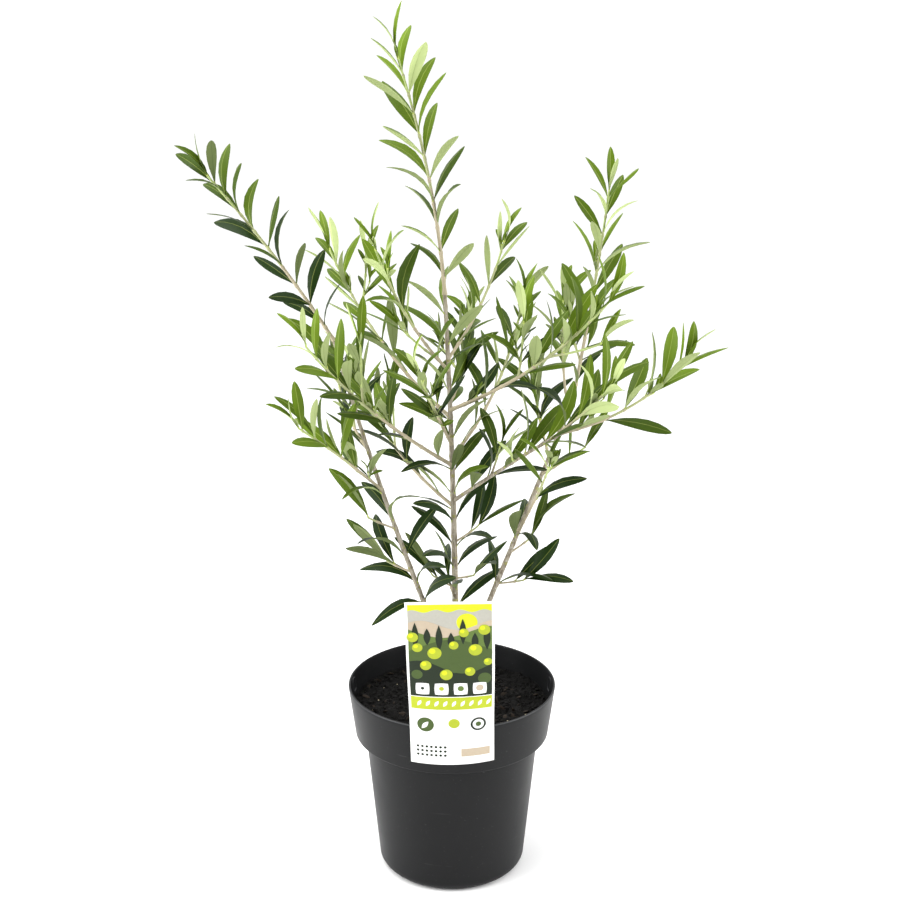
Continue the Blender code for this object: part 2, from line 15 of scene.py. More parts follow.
import bpy
import numpy as np
from mathutils.bvhtree import BVHTree
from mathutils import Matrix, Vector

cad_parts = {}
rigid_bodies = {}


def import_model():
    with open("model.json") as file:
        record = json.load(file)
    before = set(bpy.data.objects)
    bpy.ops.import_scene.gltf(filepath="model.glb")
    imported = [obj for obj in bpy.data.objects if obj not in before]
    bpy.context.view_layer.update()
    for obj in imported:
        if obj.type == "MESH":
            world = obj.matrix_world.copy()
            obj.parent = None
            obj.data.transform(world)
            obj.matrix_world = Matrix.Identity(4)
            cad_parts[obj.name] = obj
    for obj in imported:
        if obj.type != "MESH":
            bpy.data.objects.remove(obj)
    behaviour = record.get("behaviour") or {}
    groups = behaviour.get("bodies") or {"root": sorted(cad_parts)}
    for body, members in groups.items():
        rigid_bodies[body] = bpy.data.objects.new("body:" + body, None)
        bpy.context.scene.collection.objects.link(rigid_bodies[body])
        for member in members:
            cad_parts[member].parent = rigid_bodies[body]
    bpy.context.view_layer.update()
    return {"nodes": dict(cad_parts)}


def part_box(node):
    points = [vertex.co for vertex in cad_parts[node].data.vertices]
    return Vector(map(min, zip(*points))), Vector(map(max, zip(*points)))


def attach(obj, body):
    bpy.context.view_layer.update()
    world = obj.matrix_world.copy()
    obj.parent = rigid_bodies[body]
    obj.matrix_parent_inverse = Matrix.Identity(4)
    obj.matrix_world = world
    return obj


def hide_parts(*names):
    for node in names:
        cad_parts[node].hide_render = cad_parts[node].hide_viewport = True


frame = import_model()

bl_info = {
    "name": "Potted Olive Tree",
    "version": (1, 0, 0),
    "blender": (4, 5, 0),
    "location": "3D View > Sidebar > Olive Tree",
    "description": "Pot, potting mix, plant label, bark, twigs and leaves of a young olive",
    "category": "Object",
}

BODY = "root"
GAP = 0.0003
UP = np.array((0.0, 0.0, 1.0))

# Pot
POT_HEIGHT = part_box("pot")[1].z
RIM_RADIUS = 0.100
LIP_FOOT_RADIUS = 0.0935
LIP_FOOT_HEIGHT = 0.1385
LIP_FOOT_ROUND = 0.0016
BODY_TOP_RADIUS = 0.084
SHOULDER_ROUND = 0.0008
BASE_RADIUS = 0.0715
BASE_ROUND = 0.010
STAND_RADIUS = 0.056  # the flat that the pot stands on ends here
HOLLOW_RADIUS = 0.054
HOLLOW_DEPTH = 0.0012
POT_WALL = 0.0022
POT_FLOOR = 0.003
FRAME_AZIMUTHS = (172.0, 8.0)
FRAME_DROP = 0.010  # from the rim down to the middle of a hanger's frame
FRAME_POWER = 0.4  # the smaller, the squarer
FRAME_STEPS = 48
FRAME_SIDES = 8

# Potting mix
SOIL_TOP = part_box("potting_mix")[1].z
SOIL_DROP = 0.0008
SOIL_MOUND = 0.0012
SOIL_MOUND_RADIUS = 0.094
SOIL_LUMPS = (  # height, spacing and seed of each size of lump
    (0.0016, 0.019, 5),
    (0.0011, 0.0075, 7),
    (0.0008, 0.0031, 11),
    (0.0004, 0.0014, 13),
)
NOISE_CELLS = 64
SOIL_RINGS = 110
SOIL_SEGMENTS = 300
Litter = namedtuple("Litter", "least most shape reach")
CRUMB = Litter(0.0007, 0.0024, (1.0, 1.0, 0.8), 0.091)
CHIP = Litter(0.0009, 0.0024, (2.0, 1.0, 0.45), 0.090)
GRAIN = Litter(0.0004, 0.0011, (1.0, 1.0, 0.9), 0.089)
LITTER_SEED = 21
LUMP_CORNERS = 12
LUMP_EDGE = (0.1, 1.2)  # two corners this far apart share an edge
LUMP_STRETCH = 0.3
LUMP_KNOCK = 0.28
LUMP_TURN = (1.0, 0.35, 0.35, 1.0)
LUMP_RISE = 0.25
LEAST_REACH = 0.005  # of the mix's area, clear of lumps at its middle

# Label
LABEL_WIDTH = 0.078
LABEL_RISE = 0.1355
LABEL_DROP = 0.0385
LABEL_LEAN = 10.0
LABEL_ROLL = 1.0
LABEL_FLAT_AT = 0.11
LABEL_MOST_FLAT = 0.98
LABEL_GRID = (60, 25)  # rows and columns
TONGUE_WIDTH = 0.030
TONGUE_BEND = 0.0012
TONGUE_SUNK = 0.001
TONGUE_COLUMNS = 9
CARD = 0.0006
CARD_STEP = 0.0005  # between the places that a normal of the card is measured from

# Print: places are across and up the card, and a shape lies on the layers under it.
INK_FOOT = 0.7  # share of the card's thickness at which ink starts
INK_LAYER = 0.00005
SKY, LIME, FAR, MIDDLE, NEAR, WHITE, TAN, BUSH, BAND = range(9)
MIDDLE_SHARE = 0.5
BUSH_SHARE = 0.45
BAND_SHARE = 0.36
FIELD_FOOT = 0.036
SKY_LINE = (0.1265, 0.0014, 3.5, 0.4)  # level, height, waves and phase
SUN = (0.015, 0.1145, 0.0092)  # place and radius
HILLS = (  # level, height, waves and phase, the furthest first, with each one's ink and rows
    ((0.112, 0.005, 1.1, 0.6), TAN, 16),
    ((0.105, 0.006, 0.8, 2.6), FAR, 16),
    ((0.090, 0.007, 0.7, 5.6), MIDDLE, 12),
    ((0.068, 0.007, 0.9, 1.0), NEAR, 8),
)
TREES = 7
TREE_START = 0.006
TREE_PITCH = 0.0105
TREE_FOOT = 0.088
TREE_FOOT_WAVE = (0.004, 2.0)  # height, and radians to the tree
TREE_HEIGHT = 0.022
TREE_HEIGHT_WAVE = (0.005, 3.0)
TREE_WIDTH = 0.0060
CROWNS = (  # place and radius
    (-0.030, 0.060, 0.0050),
    (0.004, 0.067, 0.0052),
    (0.030, 0.055, 0.0060),
)
GLINT = (0.3, 0.35, 0.45)  # a bush's light spot: to the left, upwards and its size, over the bush's radius
TILE_START = -0.0255
TILE_PITCH = 0.017
TILE = (0.0445, 0.0062, 0.3)  # level, size and roundness
TILE_SPOT = (0.0450, 0.0016, 0.0006)  # level, radius and how much larger each next spot is
TILE_INKS = (NEAR, BUSH, FAR, TAN)
STRIP = (0.0215, 0.0350)  # foot and head
STROKES = 9
STROKE_START = 0.006
STROKE_PITCH = 0.0078
STROKE = (0.0252, 0.0070, 0.0030, -30.0)  # level, length, width and turn
MARKS = (  # place and radius, layer and ink
    ((-0.024, 0.0045, 0.0078), 1, MIDDLE),
    ((0.002, 0.0065, 0.0052), 1, BUSH),
    ((0.024, 0.0045, 0.0072), 1, NEAR),
    ((0.024, 0.0045, 0.0052), 2, WHITE),
    ((0.024, 0.0045, 0.0026), 3, MIDDLE),
)
MARK_BLADE = (-0.0275, 0.0000, 0.010, 0.0042, -38.0)  # place, length, width and turn
PANEL = (0.008, 0.002, -0.030, -0.0215)  # left, distance from the right, foot and head
DOTS = (7, 3)  # across and up, as are their start and pitch
DOT_START = (0.005, -0.0285)
DOT_PITCH = (0.0042, 0.0045)
DOT_RADIUS = 0.0013
BUSHES = (  # place and radius
    (0.012, 0.104, 0.0044),
    (-0.033, 0.100, 0.0050),
    (0.030, 0.107, 0.0052),
    (-0.029, 0.089, 0.0046),
    (-0.014, 0.083, 0.0062),
    (0.003, 0.091, 0.0042),
    (0.022, 0.086, 0.0060),
    (0.033, 0.073, 0.0038),
    (-0.022, 0.070, 0.0050),
    (-0.004, 0.060, 0.0056),
    (0.017, 0.063, 0.0046),
)

# Limbs: azimuth, rise, lift and swing are in degrees, and "at" is counted from the parent's foot.
Limb = namedtuple("Limb", "parent at azimuth rise length lift swing foot tip")
TRUNK_FOOT = (0.004, 0.0)
TRUNK_FLARE = 0.0032
FLARE_LENGTH = 0.012
TRUNK = Limb(None, 0.0, 0, 90, 0.400, 3, 0, 0.0036, 0.0018)
BOUGHS = {
    "bough_left": Limb("trunk", 0.022, 195, 69, 0.354, 5, -33, 0.0028, 0.0016),
    "bough_right": Limb("trunk", 0.022, 17, 67, 0.295, 0, 2, 0.0029, 0.0018),
    "bough_right_low": Limb("trunk", 0.205, -35, 38, 0.139, -3, 5, 0.0018, 0.0014),
}
LIMBS = {"trunk": TRUNK, **BOUGHS}
CURVE_STEPS = 40
TAPER_POWER = 0.85
NEARLY_UPRIGHT = 0.05

# Leafy shoots, with the length of their leaves.
Shoot = namedtuple("Shoot", "parent at azimuth rise length lift swing leaf")
SHOOTS = {
    "leader_top": Shoot("trunk", 0.400, 184, 86, 0.211, -15, 22, 0.062),
    "left_top": Shoot("bough_left", 0.354, 194, 59, 0.185, -9, -4, 0.056),
    "right_top": Shoot("bough_right", 0.295, -24, 80, 0.202, -1, -41, 0.054),
    "right_top_inner": Shoot("bough_right", 0.284, 104, 54, 0.107, 17, -22, 0.053),
    "right_end": Shoot("bough_right_low", 0.139, -6, 14, 0.124, 34, 8, 0.060),
    "right_end_front": Shoot("bough_right_low", 0.130, -60, 35, 0.101, 8, 9, 0.060),
    "left_front": Shoot("trunk", 0.240, 214, 33, 0.218, 13, 19, 0.058),
    "left_back_low": Shoot("trunk", 0.200, 152, 30, 0.175, 7, -45, 0.057),
    "left_low": Shoot("bough_left", 0.208, 226, 42, 0.125, -6, -2, 0.053),
    "left_back_high": Shoot("trunk", 0.286, 136, 24, 0.214, 33, 1, 0.058),
    "left_front_high": Shoot("trunk", 0.330, 226, 42, 0.160, 17, 15, 0.057),
    "right_back_high": Shoot("trunk", 0.341, 46, 38, 0.129, 22, 12, 0.053),
    "right_front_high": Shoot("trunk", 0.293, -33, 25, 0.210, 21, -13, 0.058),
    "right_back": Shoot("trunk", 0.248, 51, 27, 0.186, 34, 16, 0.057),
    "right_low": Shoot("bough_right", 0.218, -47, 34, 0.064, 4, 7, 0.055),
    "front": Shoot("trunk", 0.260, -104, 38, 0.155, -2, 3, 0.054),
    "back": Shoot("trunk", 0.300, 78, 6, 0.148, 28, 10, 0.056),
    "left_back": Shoot("bough_left", 0.248, 114, 12, 0.133, 26, -11, 0.054),
    "right_front": Shoot("bough_right", 0.159, -72, 46, 0.144, -8, -13, 0.056),
    "right_back_low": Shoot("bough_right", 0.236, 94, 11, 0.124, 26, 4, 0.056),
    "foot_left": Shoot("bough_left", 0.168, 190, 22, 0.030, 8, 0, 0.064),
    "foot_left_low": Shoot("bough_left", 0.122, 158, 12, 0.028, 8, 0, 0.062),
    "foot_left_inner": Shoot("trunk", 0.118, 172, 24, 0.026, 8, 0, 0.054),
    "foot_front": Shoot("trunk", 0.128, -48, 18, 0.030, 8, 0, 0.066),
    "foot_high": Shoot("trunk", 0.164, 18, 26, 0.028, 8, 0, 0.060),
    "foot_right": Shoot("bough_right", 0.104, -12, 8, 0.028, 8, 0, 0.060),
    "foot_right_high": Shoot("bough_right", 0.136, 28, 22, 0.028, 8, 0, 0.062),
    "foot_back": Shoot("trunk", 0.104, 104, 22, 0.030, 8, 0, 0.062),
    "inner_right": Shoot("bough_right_low", 0.052, 42, 62, 0.028, 8, 0, 0.054),
    "outer_right": Shoot("bough_right_low", 0.084, -98, 14, 0.028, 8, 0, 0.056),
}
FOLIAGE = ["foliage_" + name for name in SHOOTS]
SHOOT_TIP = 0.0009
SHOOT_GAIN = 0.0045

# The rule of the solids: crossed pairs of leaves, closer together towards the tip.
HANDS = (0, 180)
CROSSED = 90
FIRST_PAIR = 0.014
PITCH = 0.0240
PITCH_CLOSING = 0.35
END_BARE = 0.006
SPLAY_FOOT = 62.0
SPLAY_TIP = 45.0
END_SPLAY = 22.0
END_TURN = 45.0
UPWARD = 0.22
FACE_UP = 0.6
TURN_SPREAD = 20.0
SPIN_SPREAD = 14.0
SPLAY_SPREAD = 7.0
ROLL_SPREAD = 42.0
LENGTH_SPREAD = 0.13
LEAF_AT_FOOT = 0.84
LEAF_RISE = 0.20
LEAF_FALL = 0.08
END_LEAF = 0.92
END_LEAF_LOSS = 0.18
LEAF_WIDTH = 0.20
LEAF_THICKNESS = 0.022
LEAF_WAIST = 0.45
ROOT_SINK = 0.0006
TIP_SINK = 0.0015
TWIG_CHANCE = 0.16
TWIG_FROM = 0.10
TWIG_TO = 0.75
TWIG_LENGTH = 0.046
TWIG_LENGTH_SPREAD = 0.2
TWIG_SPLAY = 38.0
TWIG_LIFT = 12.0
TWIG_FOOT = 0.0011
TWIG_LEAF = 0.85
TWIG_SHOOT_LENGTH = 0.10
SPACE = 0.075
CLEARANCE = 0.0008
PROBE_STEP = 0.020
TURNS = (0.0, 32.0, -32.0, 64.0, -64.0)

# Finer growth within the same reach: a sprout in the axil of some leaves, and a bud pair at each tip.
SPROUT_CHANCE = 0.20
TIP_SPROUT_CHANCE = 0.06  # on the long shoots that end the trunk and boughs
SPROUT_FROM = 0.006
SPROUT_TO = 0.019
SPROUT_FIRST = 0.004
SPROUT_LEAF = 0.36
SPROUT_RADIUS = 0.0006
TWIG_YOUTH = 0.5  # 0 is a shoot's woody foot and 1 its green tip
SPROUT_YOUTH = 1.0
BUD_LEAF = 0.24
BUD_SPLAY = 9.0
BARE_FOOT = 0.34  # share of a long shoot that has shed some of its oldest leaves
BARE_CHANCE = 0.5
SPUR_LENGTH = 0.035  # a shoot shorter than this keeps its end pair, and little of the pair below it
SPUR_BARE_CHANCE = 0.7
PLAIN_TOPS = ("foliage_leader_top", "foliage_left_top")  # strong tops with neither side twigs nor sprouts
PAIR_TURN = {"foliage_leader_top": 45.0, "foliage_left_top": 40.0}  # turn of a top's crossed pairs about it
TOP_LIFT = {"foliage_left_top": 0.5}  # share of the lift to the light that a top's leaves take
TOP_LIGHT = {"foliage_left_top": (0.0, -0.62, 0.25)}  # where a top's leaves turn, if not to the common light
THINNED = {  # chance that a leaf of a shaded shoot has been shed, wherever it stands
    "foliage_right_front": 0.56,
    "foliage_front": 0.52,
    "foliage_right_low": 0.55,
    "foliage_left_low": 0.18,
    "foliage_left_back_high": 0.20,
    "foliage_left_front_high": 0.28,
    "foliage_right_back_high": 0.20,
}
LIMB_PAIRS = {
    "trunk": (0.098, 0.117, 0.138, 0.160, 0.184, 0.212, 0.233, 0.266, 0.312, 0.354, 0.382),
    "bough_left": (0.090, 0.110, 0.140, 0.176, 0.286, 0.320),
    "bough_right": (0.104, 0.152),
    "bough_right_low": (0.026, 0.048, 0.070, 0.096, 0.118),
}
LIMB_LEAF = 0.060
LIMB_SPLAY = 58.0
LIMB_TURN_SPREAD = 90.0
HELD_LEAF_CHANCE = 0.6  # of a leaf under a side shoot's foot
HELD_LEAF_DROP = 0.004
HELD_LEAF_RISE = 12.0
HELD_LEAF = 0.95
HELD_LEAF_SHARE = 0.25  # it takes its tint as from this share of the side shoot

# Colours are dealt out by spray, from the darkest leaves low in the crown to the freshest at its tips.
TINTS = 5
TINT_FOOT = 0.29
TINT_TOP = 0.62
TINT_BY_HEIGHT = 0.56
TINT_ALONG = 0.36
TINT_LEVEL_AT = 0.3  # the share of a shoot where its tint is neither older nor fresher
TINT_SPREAD = 0.24
LOW_TINT_CHANGE = 0.35  # how much of the change along a shoot and of the spread the lowest leaves show
LOW_TINT_HEIGHT = 0.25
TINT_SEED = 200
MOST_TINT = 0.999
TINT_BY_SPRAY = {
    "foliage_left_top": -0.46,
    "foliage_left_front": 0.10,
    "foliage_left_low": 0.16,
    "foliage_right_end": 0.20,
    "foliage_right_end_front": 0.10,
    "foliage_leader_top": -0.08,
}


# ---------------------------------------------------------------- arrays and meshes


def unit(vectors):
    """Each vector over its own length."""
    return vectors / np.linalg.norm(vectors, axis=-1, keepdims=True)


def smooth(value, low, high):
    """Runs from 0 at low to 1 at high, as 3t^2 - 2t^3."""
    part = np.clip((value - low) / (high - low), 0.0, 1.0)
    return part * part * (3.0 - 2.0 * part)


def circle(count):
    """Angles that go once round in equal steps."""
    return np.arange(count) * math.tau / count


def wrapped_quads(rows, columns, wrap_rows=False):
    """Quads of a grid whose columns close into a ring, and its rows too if wanted."""
    count = rows if wrap_rows else rows - 1
    row, column = np.meshgrid(np.arange(count), np.arange(columns), indexing="ij")
    after = (column + 1) % columns
    above = (row + 1) % rows
    near, far = row * columns, above * columns
    corners = (near + column, near + after, far + after, far + column)
    return np.stack(corners, -1).reshape(-1, 4)


def tube_faces(rows, columns):
    """Quads round a tube, and one polygon at each end."""
    last = (rows - 1) * columns
    ends = np.stack([np.arange(columns)[::-1], last + np.arange(columns)])
    return wrapped_quads(rows, columns), ends


def turned_faces(rows, segments):
    """Quads of rings turned about Z and a fan at each pole. The two poles follow the rings' points."""
    count = rows * segments
    step = np.arange(segments)
    after = (step + 1) % segments
    last = count - segments
    first_fan = np.stack([np.full(segments, count), after, step], -1)
    last_fan = np.stack([np.full(segments, count + 1), last + step, last + after], -1)
    return wrapped_quads(rows, segments), first_fan, last_fan


def sheet_faces(rows, columns):
    """Quads of a closed sheet: each ring runs across its top and comes back along its underside."""
    ring = 2 * columns
    step = np.arange(columns - 1)
    foot = np.stack([step + 1, step, ring - 1 - step, ring - 2 - step], -1)
    last = (rows - 1) * ring
    head = np.stack([step, step + 1, ring - 2 - step, ring - 1 - step], -1) + last
    return np.concatenate([wrapped_quads(rows, ring), foot, head])


class Parts:
    """Gathers the points and faces of several shapes, with a material slot for each face."""

    def __init__(self):
        self.points = []
        self.faces = []
        self.slots = []
        self.count = 0

    def add(self, points, faces, slots=0):
        """faces is one index array, or several with different numbers of corners."""
        blocks = faces if isinstance(faces, tuple) else (faces,)
        slots = slots if isinstance(slots, tuple) else (slots,) * len(blocks)
        for block, slot in zip(blocks, slots):
            self.faces.append(block + self.count)
            self.slots.append(np.broadcast_to(slot, len(block)))
        self.points.append(points)
        self.count += len(points)

    def piece(self, name, materials, sharp=35.0):
        """The gathered shapes as one mesh object, shaded smooth except at edges sharper than that."""
        points = np.concatenate(self.points)
        loops = np.concatenate([block.ravel() for block in self.faces])
        totals = np.concatenate([np.full(len(block), block.shape[1]) for block in self.faces])
        starts = np.cumsum(totals) - totals
        mesh = bpy.data.meshes.new(name)
        mesh.vertices.add(len(points))
        mesh.vertices.foreach_set("co", points.astype(np.float32).ravel())
        mesh.loops.add(len(loops))
        mesh.loops.foreach_set("vertex_index", loops.astype(np.int32))
        mesh.polygons.add(len(totals))
        mesh.polygons.foreach_set("loop_start", starts.astype(np.int32))
        for material in materials:
            mesh.materials.append(material)
        mesh.polygons.foreach_set("material_index", np.concatenate(self.slots).astype(np.int32))
        mesh.update(calc_edges=True)
        mesh.validate()
        mesh.shade_smooth()
        mesh.set_sharp_from_angle(angle=math.radians(sharp))
        item = bpy.data.objects.new(name, mesh)
        bpy.context.scene.collection.objects.link(item)
        return item


def place_piece(item, slot, *nodes):
    """Ties a finished piece to the body and hides the nodes that it stands for. The slot is not used."""
    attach(item, BODY)
    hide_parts(*nodes)


def path_frames(path):
    """Two unit vectors square to the path's heading at each of its points, turning as little as it does."""
    heading = unit(np.gradient(path, axis=0))
    steady = side_of(heading[0])
    second = unit(np.cross(heading, steady))
    return np.cross(second, heading), second


def tube_points(path, radii, sides):
    """A profile carried along a path: point plus radius times a unit vector that goes round the heading.

    radii has one value for each point of the path, or a row of them with one for each side.
    """
    first, second = path_frames(path)
    angle = circle(sides)
    spoke = first[:, None] * np.cos(angle)[:, None] + second[:, None] * np.sin(angle)[:, None]
    radii = np.asarray(radii)
    reach = radii[:, None] if radii.ndim == 1 else radii
    points = path[:, None] + spoke * reach[:, :, None]
    return points.reshape(-1, 3)


def turned_points(radius, height, angles):
    """A profile of radii and heights turned about Z: (r cos a, r sin a, z) at each of the angles."""
    x = radius[:, None] * np.cos(angles)
    y = radius[:, None] * np.sin(angles)
    z = np.broadcast_to(height[:, None], x.shape)
    return np.stack([x, y, z], -1).reshape(-1, 3)


def lattice_noise(x, y, cell, seed):
    """Value noise: random heights on a square lattice, eased between by 3t^2 - 2t^3, from -1 to 1."""
    table = np.random.default_rng(seed).uniform(-1.0, 1.0, (NOISE_CELLS, NOISE_CELLS))
    column = np.floor(x / cell).astype(int)
    row = np.floor(y / cell).astype(int)
    across = smooth(x / cell - column, 0.0, 1.0)
    along = smooth(y / cell - row, 0.0, 1.0)
    above, row = (row + 1) % NOISE_CELLS, row % NOISE_CELLS
    beside, column = (column + 1) % NOISE_CELLS, column % NOISE_CELLS
    low = table[row, column] * (1 - across) + table[row, beside] * across
    high = table[above, column] * (1 - across) + table[above, beside] * across
    return low * (1 - along) + high * along


# ---------------------------------------------------------------- materials

# Roughness and specular level of each kind of surface.
GLOSS = {
    "pot_plastic": (0.42, 0.14),
    # The rim's finish is lighter than the plastic: a painted highlight along the rim's edge and painted
    # glints on the frames.
    "pot_rim": (0.36, 0.35),
    "potting_mix": (0.95, 0.2),
    "mix_crumb": (0.95, 0.25),
    "bark_chip": (0.8, 0.25),
    "perlite": (0.85, 0.25),
    "card": (0.42, 0.22),
    "bark": (0.8, 0.25),
    "leaf_scar": (0.75, 0.25),
    "twig_woody": (0.75, 0.3),
    "twig_half_ripe": (0.65, 0.35),
    "twig_green": (0.5, 0.4),
    "upper": (0.42, 0.12),
    "under": (0.8, 0.08),
    "rib": (0.5, 0.2),
    "under_rib": (0.65, 0.12),
    "stalk": (0.55, 0.25),
    "floor": (0.9, 0.2),
}

# A noise pattern: waves to the metre, detail and roughness, and the part of its range that shows.
Pattern = namedtuple("Pattern", "scale detail roughness low high")
POT_CLOUDS = Pattern(14.0, 4.0, 0.55, 0.35, 0.70)
POT_SPECKS = Pattern(620.0, 2.0, 0.7, 0.70, 0.76)
POT_SCUFFS = Pattern(32.0, 5.0, 0.6, 0.68, 0.76)
MIX_TONES = Pattern(260.0, 6.0, 0.7, 0.42, 0.70)
CRUMB_TONES = Pattern(900.0, 3.0, 0.55, 0.0, 1.0)
CARD_TONES = Pattern(420.0, 4.0, 0.55, 0.3, 0.7)
BARK_LINES = Pattern(520.0, 4.0, 0.65, 0.38, 0.60)
BARK_CRACKS = Pattern(380.0, 4.0, 0.6, 0.52, 0.60)
BARK_SPOTS = Pattern(330.0, 2.0, 0.5, 0.60, 0.66)
FLOOR_CLOUDS = Pattern(3.0, 3.0, 0.55, 0.3, 0.7)

# Fine relief: the noise's waves to the metre, detail and roughness, and the bump's strength and depth.
Grain = namedtuple("Grain", "scale detail roughness strength depth")
POT_GRAIN = Grain(1500.0, 2.0, 0.55, 0.12, 0.0002)
MIX_GRAIN = Grain(260.0, 6.0, 0.7, 0.9, 0.0012)
CARD_GRAIN = Grain(1300.0, 3.0, 0.55, 0.05, 0.0001)
BARK_GRAIN = Grain(1600.0, 4.0, 0.55, 0.35, 0.0004)

POT_CLOUD_TONE = 1.35
DUST = (0.11, 0.11, 0.11)
DUST_SHOWS = 0.55
SCUFF = (0.07, 0.07, 0.07)
SCUFF_SHOWS = 0.35
SCUFF_STRETCH = (1.0, 1.0, 16.0)
POT_GLOSS_SPREAD = 0.05
MIX_PALE_TONE = 2.6
CRUMB_DEEP_TONE = 0.55
CARD_DEEP_TONE = 0.94
FLOOR_DEEP_TONE = 0.98
STREAK_STRETCH = (1.0, 1.0, 0.12)
CRACK_STRETCH = (1.0, 1.0, 0.45)
OLD_WOOD = (0.22, 0.36)  # old wood shows most below the first height, and least above the second
OLD_WOOD_ABOVE = 0.18


def new_finish(name, colour, kind=None):
    """A material and its Principled shader, with its constants on the shader's own sockets."""
    roughness, specular = GLOSS[kind or name]
    material = bpy.data.materials.new(name)
    material.use_nodes = True
    shader = material.node_tree.nodes["Principled BSDF"]
    shader.inputs["Base Color"].default_value = (*colour, 1.0)
    shader.inputs["Roughness"].default_value = roughness
    shader.inputs["Specular IOR Level"].default_value = specular
    return material, shader


def link(owner, output, node, socket):
    owner.node_tree.links.new(output, node.inputs[socket])


def add_node(owner, kind, sockets, **settings):
    """A node of a material or the world. A socket's value may be another node's output."""
    node = owner.node_tree.nodes.new("ShaderNode" + kind)
    for key, value in settings.items():
        setattr(node, key, value)
    for key, value in sockets.items():
        if isinstance(value, bpy.types.NodeSocket):
            link(owner, value, node, key)
        else:
            node.inputs[key].default_value = value
    return node


def object_place(owner, stretch=(1.0, 1.0, 1.0)):
    """Object coordinates, stretched by a Mapping node."""
    place = add_node(owner, "TexCoord", {})
    return add_node(owner, "Mapping", {"Vector": place.outputs["Object"], "Scale": stretch}).outputs[0]


def noise(owner, place, pattern):
    """Noise of a pattern's or a grain's scale, detail and roughness."""
    sockets = {
        "Vector": place,
        "Scale": pattern.scale,
        "Detail": pattern.detail,
        "Roughness": pattern.roughness,
    }
    return add_node(owner, "TexNoise", sockets).outputs["Fac"]


def ramp(owner, value, low, high, start=0.0, end=1.0):
    """Maps low..high of a value to start..end, held at both ends."""
    sockets = {"Value": value, "From Min": low, "From Max": high, "To Min": start, "To Max": end}
    return add_node(owner, "MapRange", sockets, clamp=True).outputs[0]


def share_of(owner, place, pattern, most=1.0):
    """How far a pattern shows, from 0 to the most."""
    return ramp(owner, noise(owner, place, pattern), pattern.low, pattern.high, 0.0, most)


def product(owner, first, second):
    return add_node(owner, "Math", {0: first, 1: second}, operation="MULTIPLY").outputs[0]


def blend_colours(owner, share, first, second):
    """A colour that runs from first to second with the share. Each may be a colour or an output."""
    pair = [value if isinstance(value, bpy.types.NodeSocket) else (*value, 1.0) for value in (first, second)]
    return add_node(owner, "Mix", {0: share, 6: pair[0], 7: pair[1]}, data_type="RGBA").outputs[2]


def roughen(owner, shader, place, grain):
    """Fine relief from noise, through a Bump node."""
    sockets = {"Height": noise(owner, place, grain), "Strength": grain.strength, "Distance": grain.depth}
    link(owner, add_node(owner, "Bump", sockets).outputs[0], shader, "Normal")


def shaded(colour, tone):
    return tuple(tone * value for value in colour)


def mixed(first, second, share):
    return tuple(a + (b - a) * share for a, b in zip(first, second))


def two_tone(name, plain, pattern, first, second, kind=None):
    """A surface whose colour runs from first to second with one pattern."""
    material, shader = new_finish(name, plain, kind)
    place = object_place(material)
    colour = blend_colours(material, share_of(material, place, pattern), first, second)
    link(material, colour, shader, "Base Color")
    return material, shader, place


def pot_finish(name, dark):
    """Charcoal moulded plastic: faint clouding, fine pale specks and handling marks, and a satin grain."""
    material, shader = new_finish(name, dark)
    place = object_place(material)
    cloud = share_of(material, place, POT_CLOUDS)
    body = blend_colours(material, cloud, dark, shaded(dark, POT_CLOUD_TONE))
    dusty = blend_colours(material, share_of(material, place, POT_SPECKS, DUST_SHOWS), body, DUST)
    streaks = object_place(material, SCUFF_STRETCH)
    scuff = share_of(material, streaks, POT_SCUFFS, SCUFF_SHOWS)
    link(material, blend_colours(material, scuff, dusty, SCUFF), shader, "Base Color")
    satin = GLOSS[name][0]
    gloss = ramp(material, cloud, 0.0, 1.0, satin - POT_GLOSS_SPREAD, satin + POT_GLOSS_SPREAD)
    link(material, gloss, shader, "Roughness")
    roughen(material, shader, place, POT_GRAIN)
    return material


def mix_finish(dark):
    """Near-black potting mix: dark brown crumbs between darker hollows."""
    material, shader, place = two_tone("potting_mix", dark, MIX_TONES, dark, shaded(dark, MIX_PALE_TONE))
    roughen(material, shader, place, MIX_GRAIN)
    return material


def crumb_finish(name, colour):
    """A dry crumb: its colour broken up by fine noise."""
    return two_tone(name, colour, CRUMB_TONES, shaded(colour, CRUMB_DEEP_TONE), colour)[0]


def card_finish(name, colour):
    """Coated card: an almost even print with a faint paper grain under its gloss."""
    deep = shaded(colour, CARD_DEEP_TONE)
    material, shader, place = two_tone(name, colour, CARD_TONES, deep, colour, "card")
    roughen(material, shader, place, CARD_GRAIN)
    return material


def bark_finish(settings):
    """Grey-beige young bark: fine streaks along the limb, and patches and pale spots, most of them low."""
    material, shader = new_finish("bark", settings.pale)
    place = object_place(material)
    streaks = object_place(material, STREAK_STRETCH)
    cracks = object_place(material, CRACK_STRETCH)
    wood = blend_colours(material, share_of(material, streaks, BARK_LINES), settings.dark, settings.pale)
    height = add_node(material, "SeparateXYZ", {"Vector": place}).outputs["Z"]
    low = ramp(material, height, *OLD_WOOD, 1.0, OLD_WOOD_ABOVE)
    old = product(material, share_of(material, cracks, BARK_CRACKS), low)
    wear_and_rim_highlight = blend_colours(material, old, wood, settings.scar)
    lichen = product(material, share_of(material, place, BARK_SPOTS), low)
    link(material, blend_colours(material, lichen, wear_and_rim_highlight, settings.lichen), shader, "Base Color")
    roughen(material, shader, streaks, BARK_GRAIN)
    return material


def leaf_finish(name, colour, kind=None):
    """A plain leathery surface: the tint of a leaf or a young stem, with its own gloss."""
    return new_finish(name, colour, kind)[0]


# ---------------------------------------------------------------- limbs and their curves


def side_of(heading):
    """A unit vector square to the heading, level where it can be."""
    side = np.cross(heading, UP)
    if np.linalg.norm(side) < NEARLY_UPRIGHT:
        side = np.cross(heading, (0.0, 1.0, 0.0))
    return unit(side)


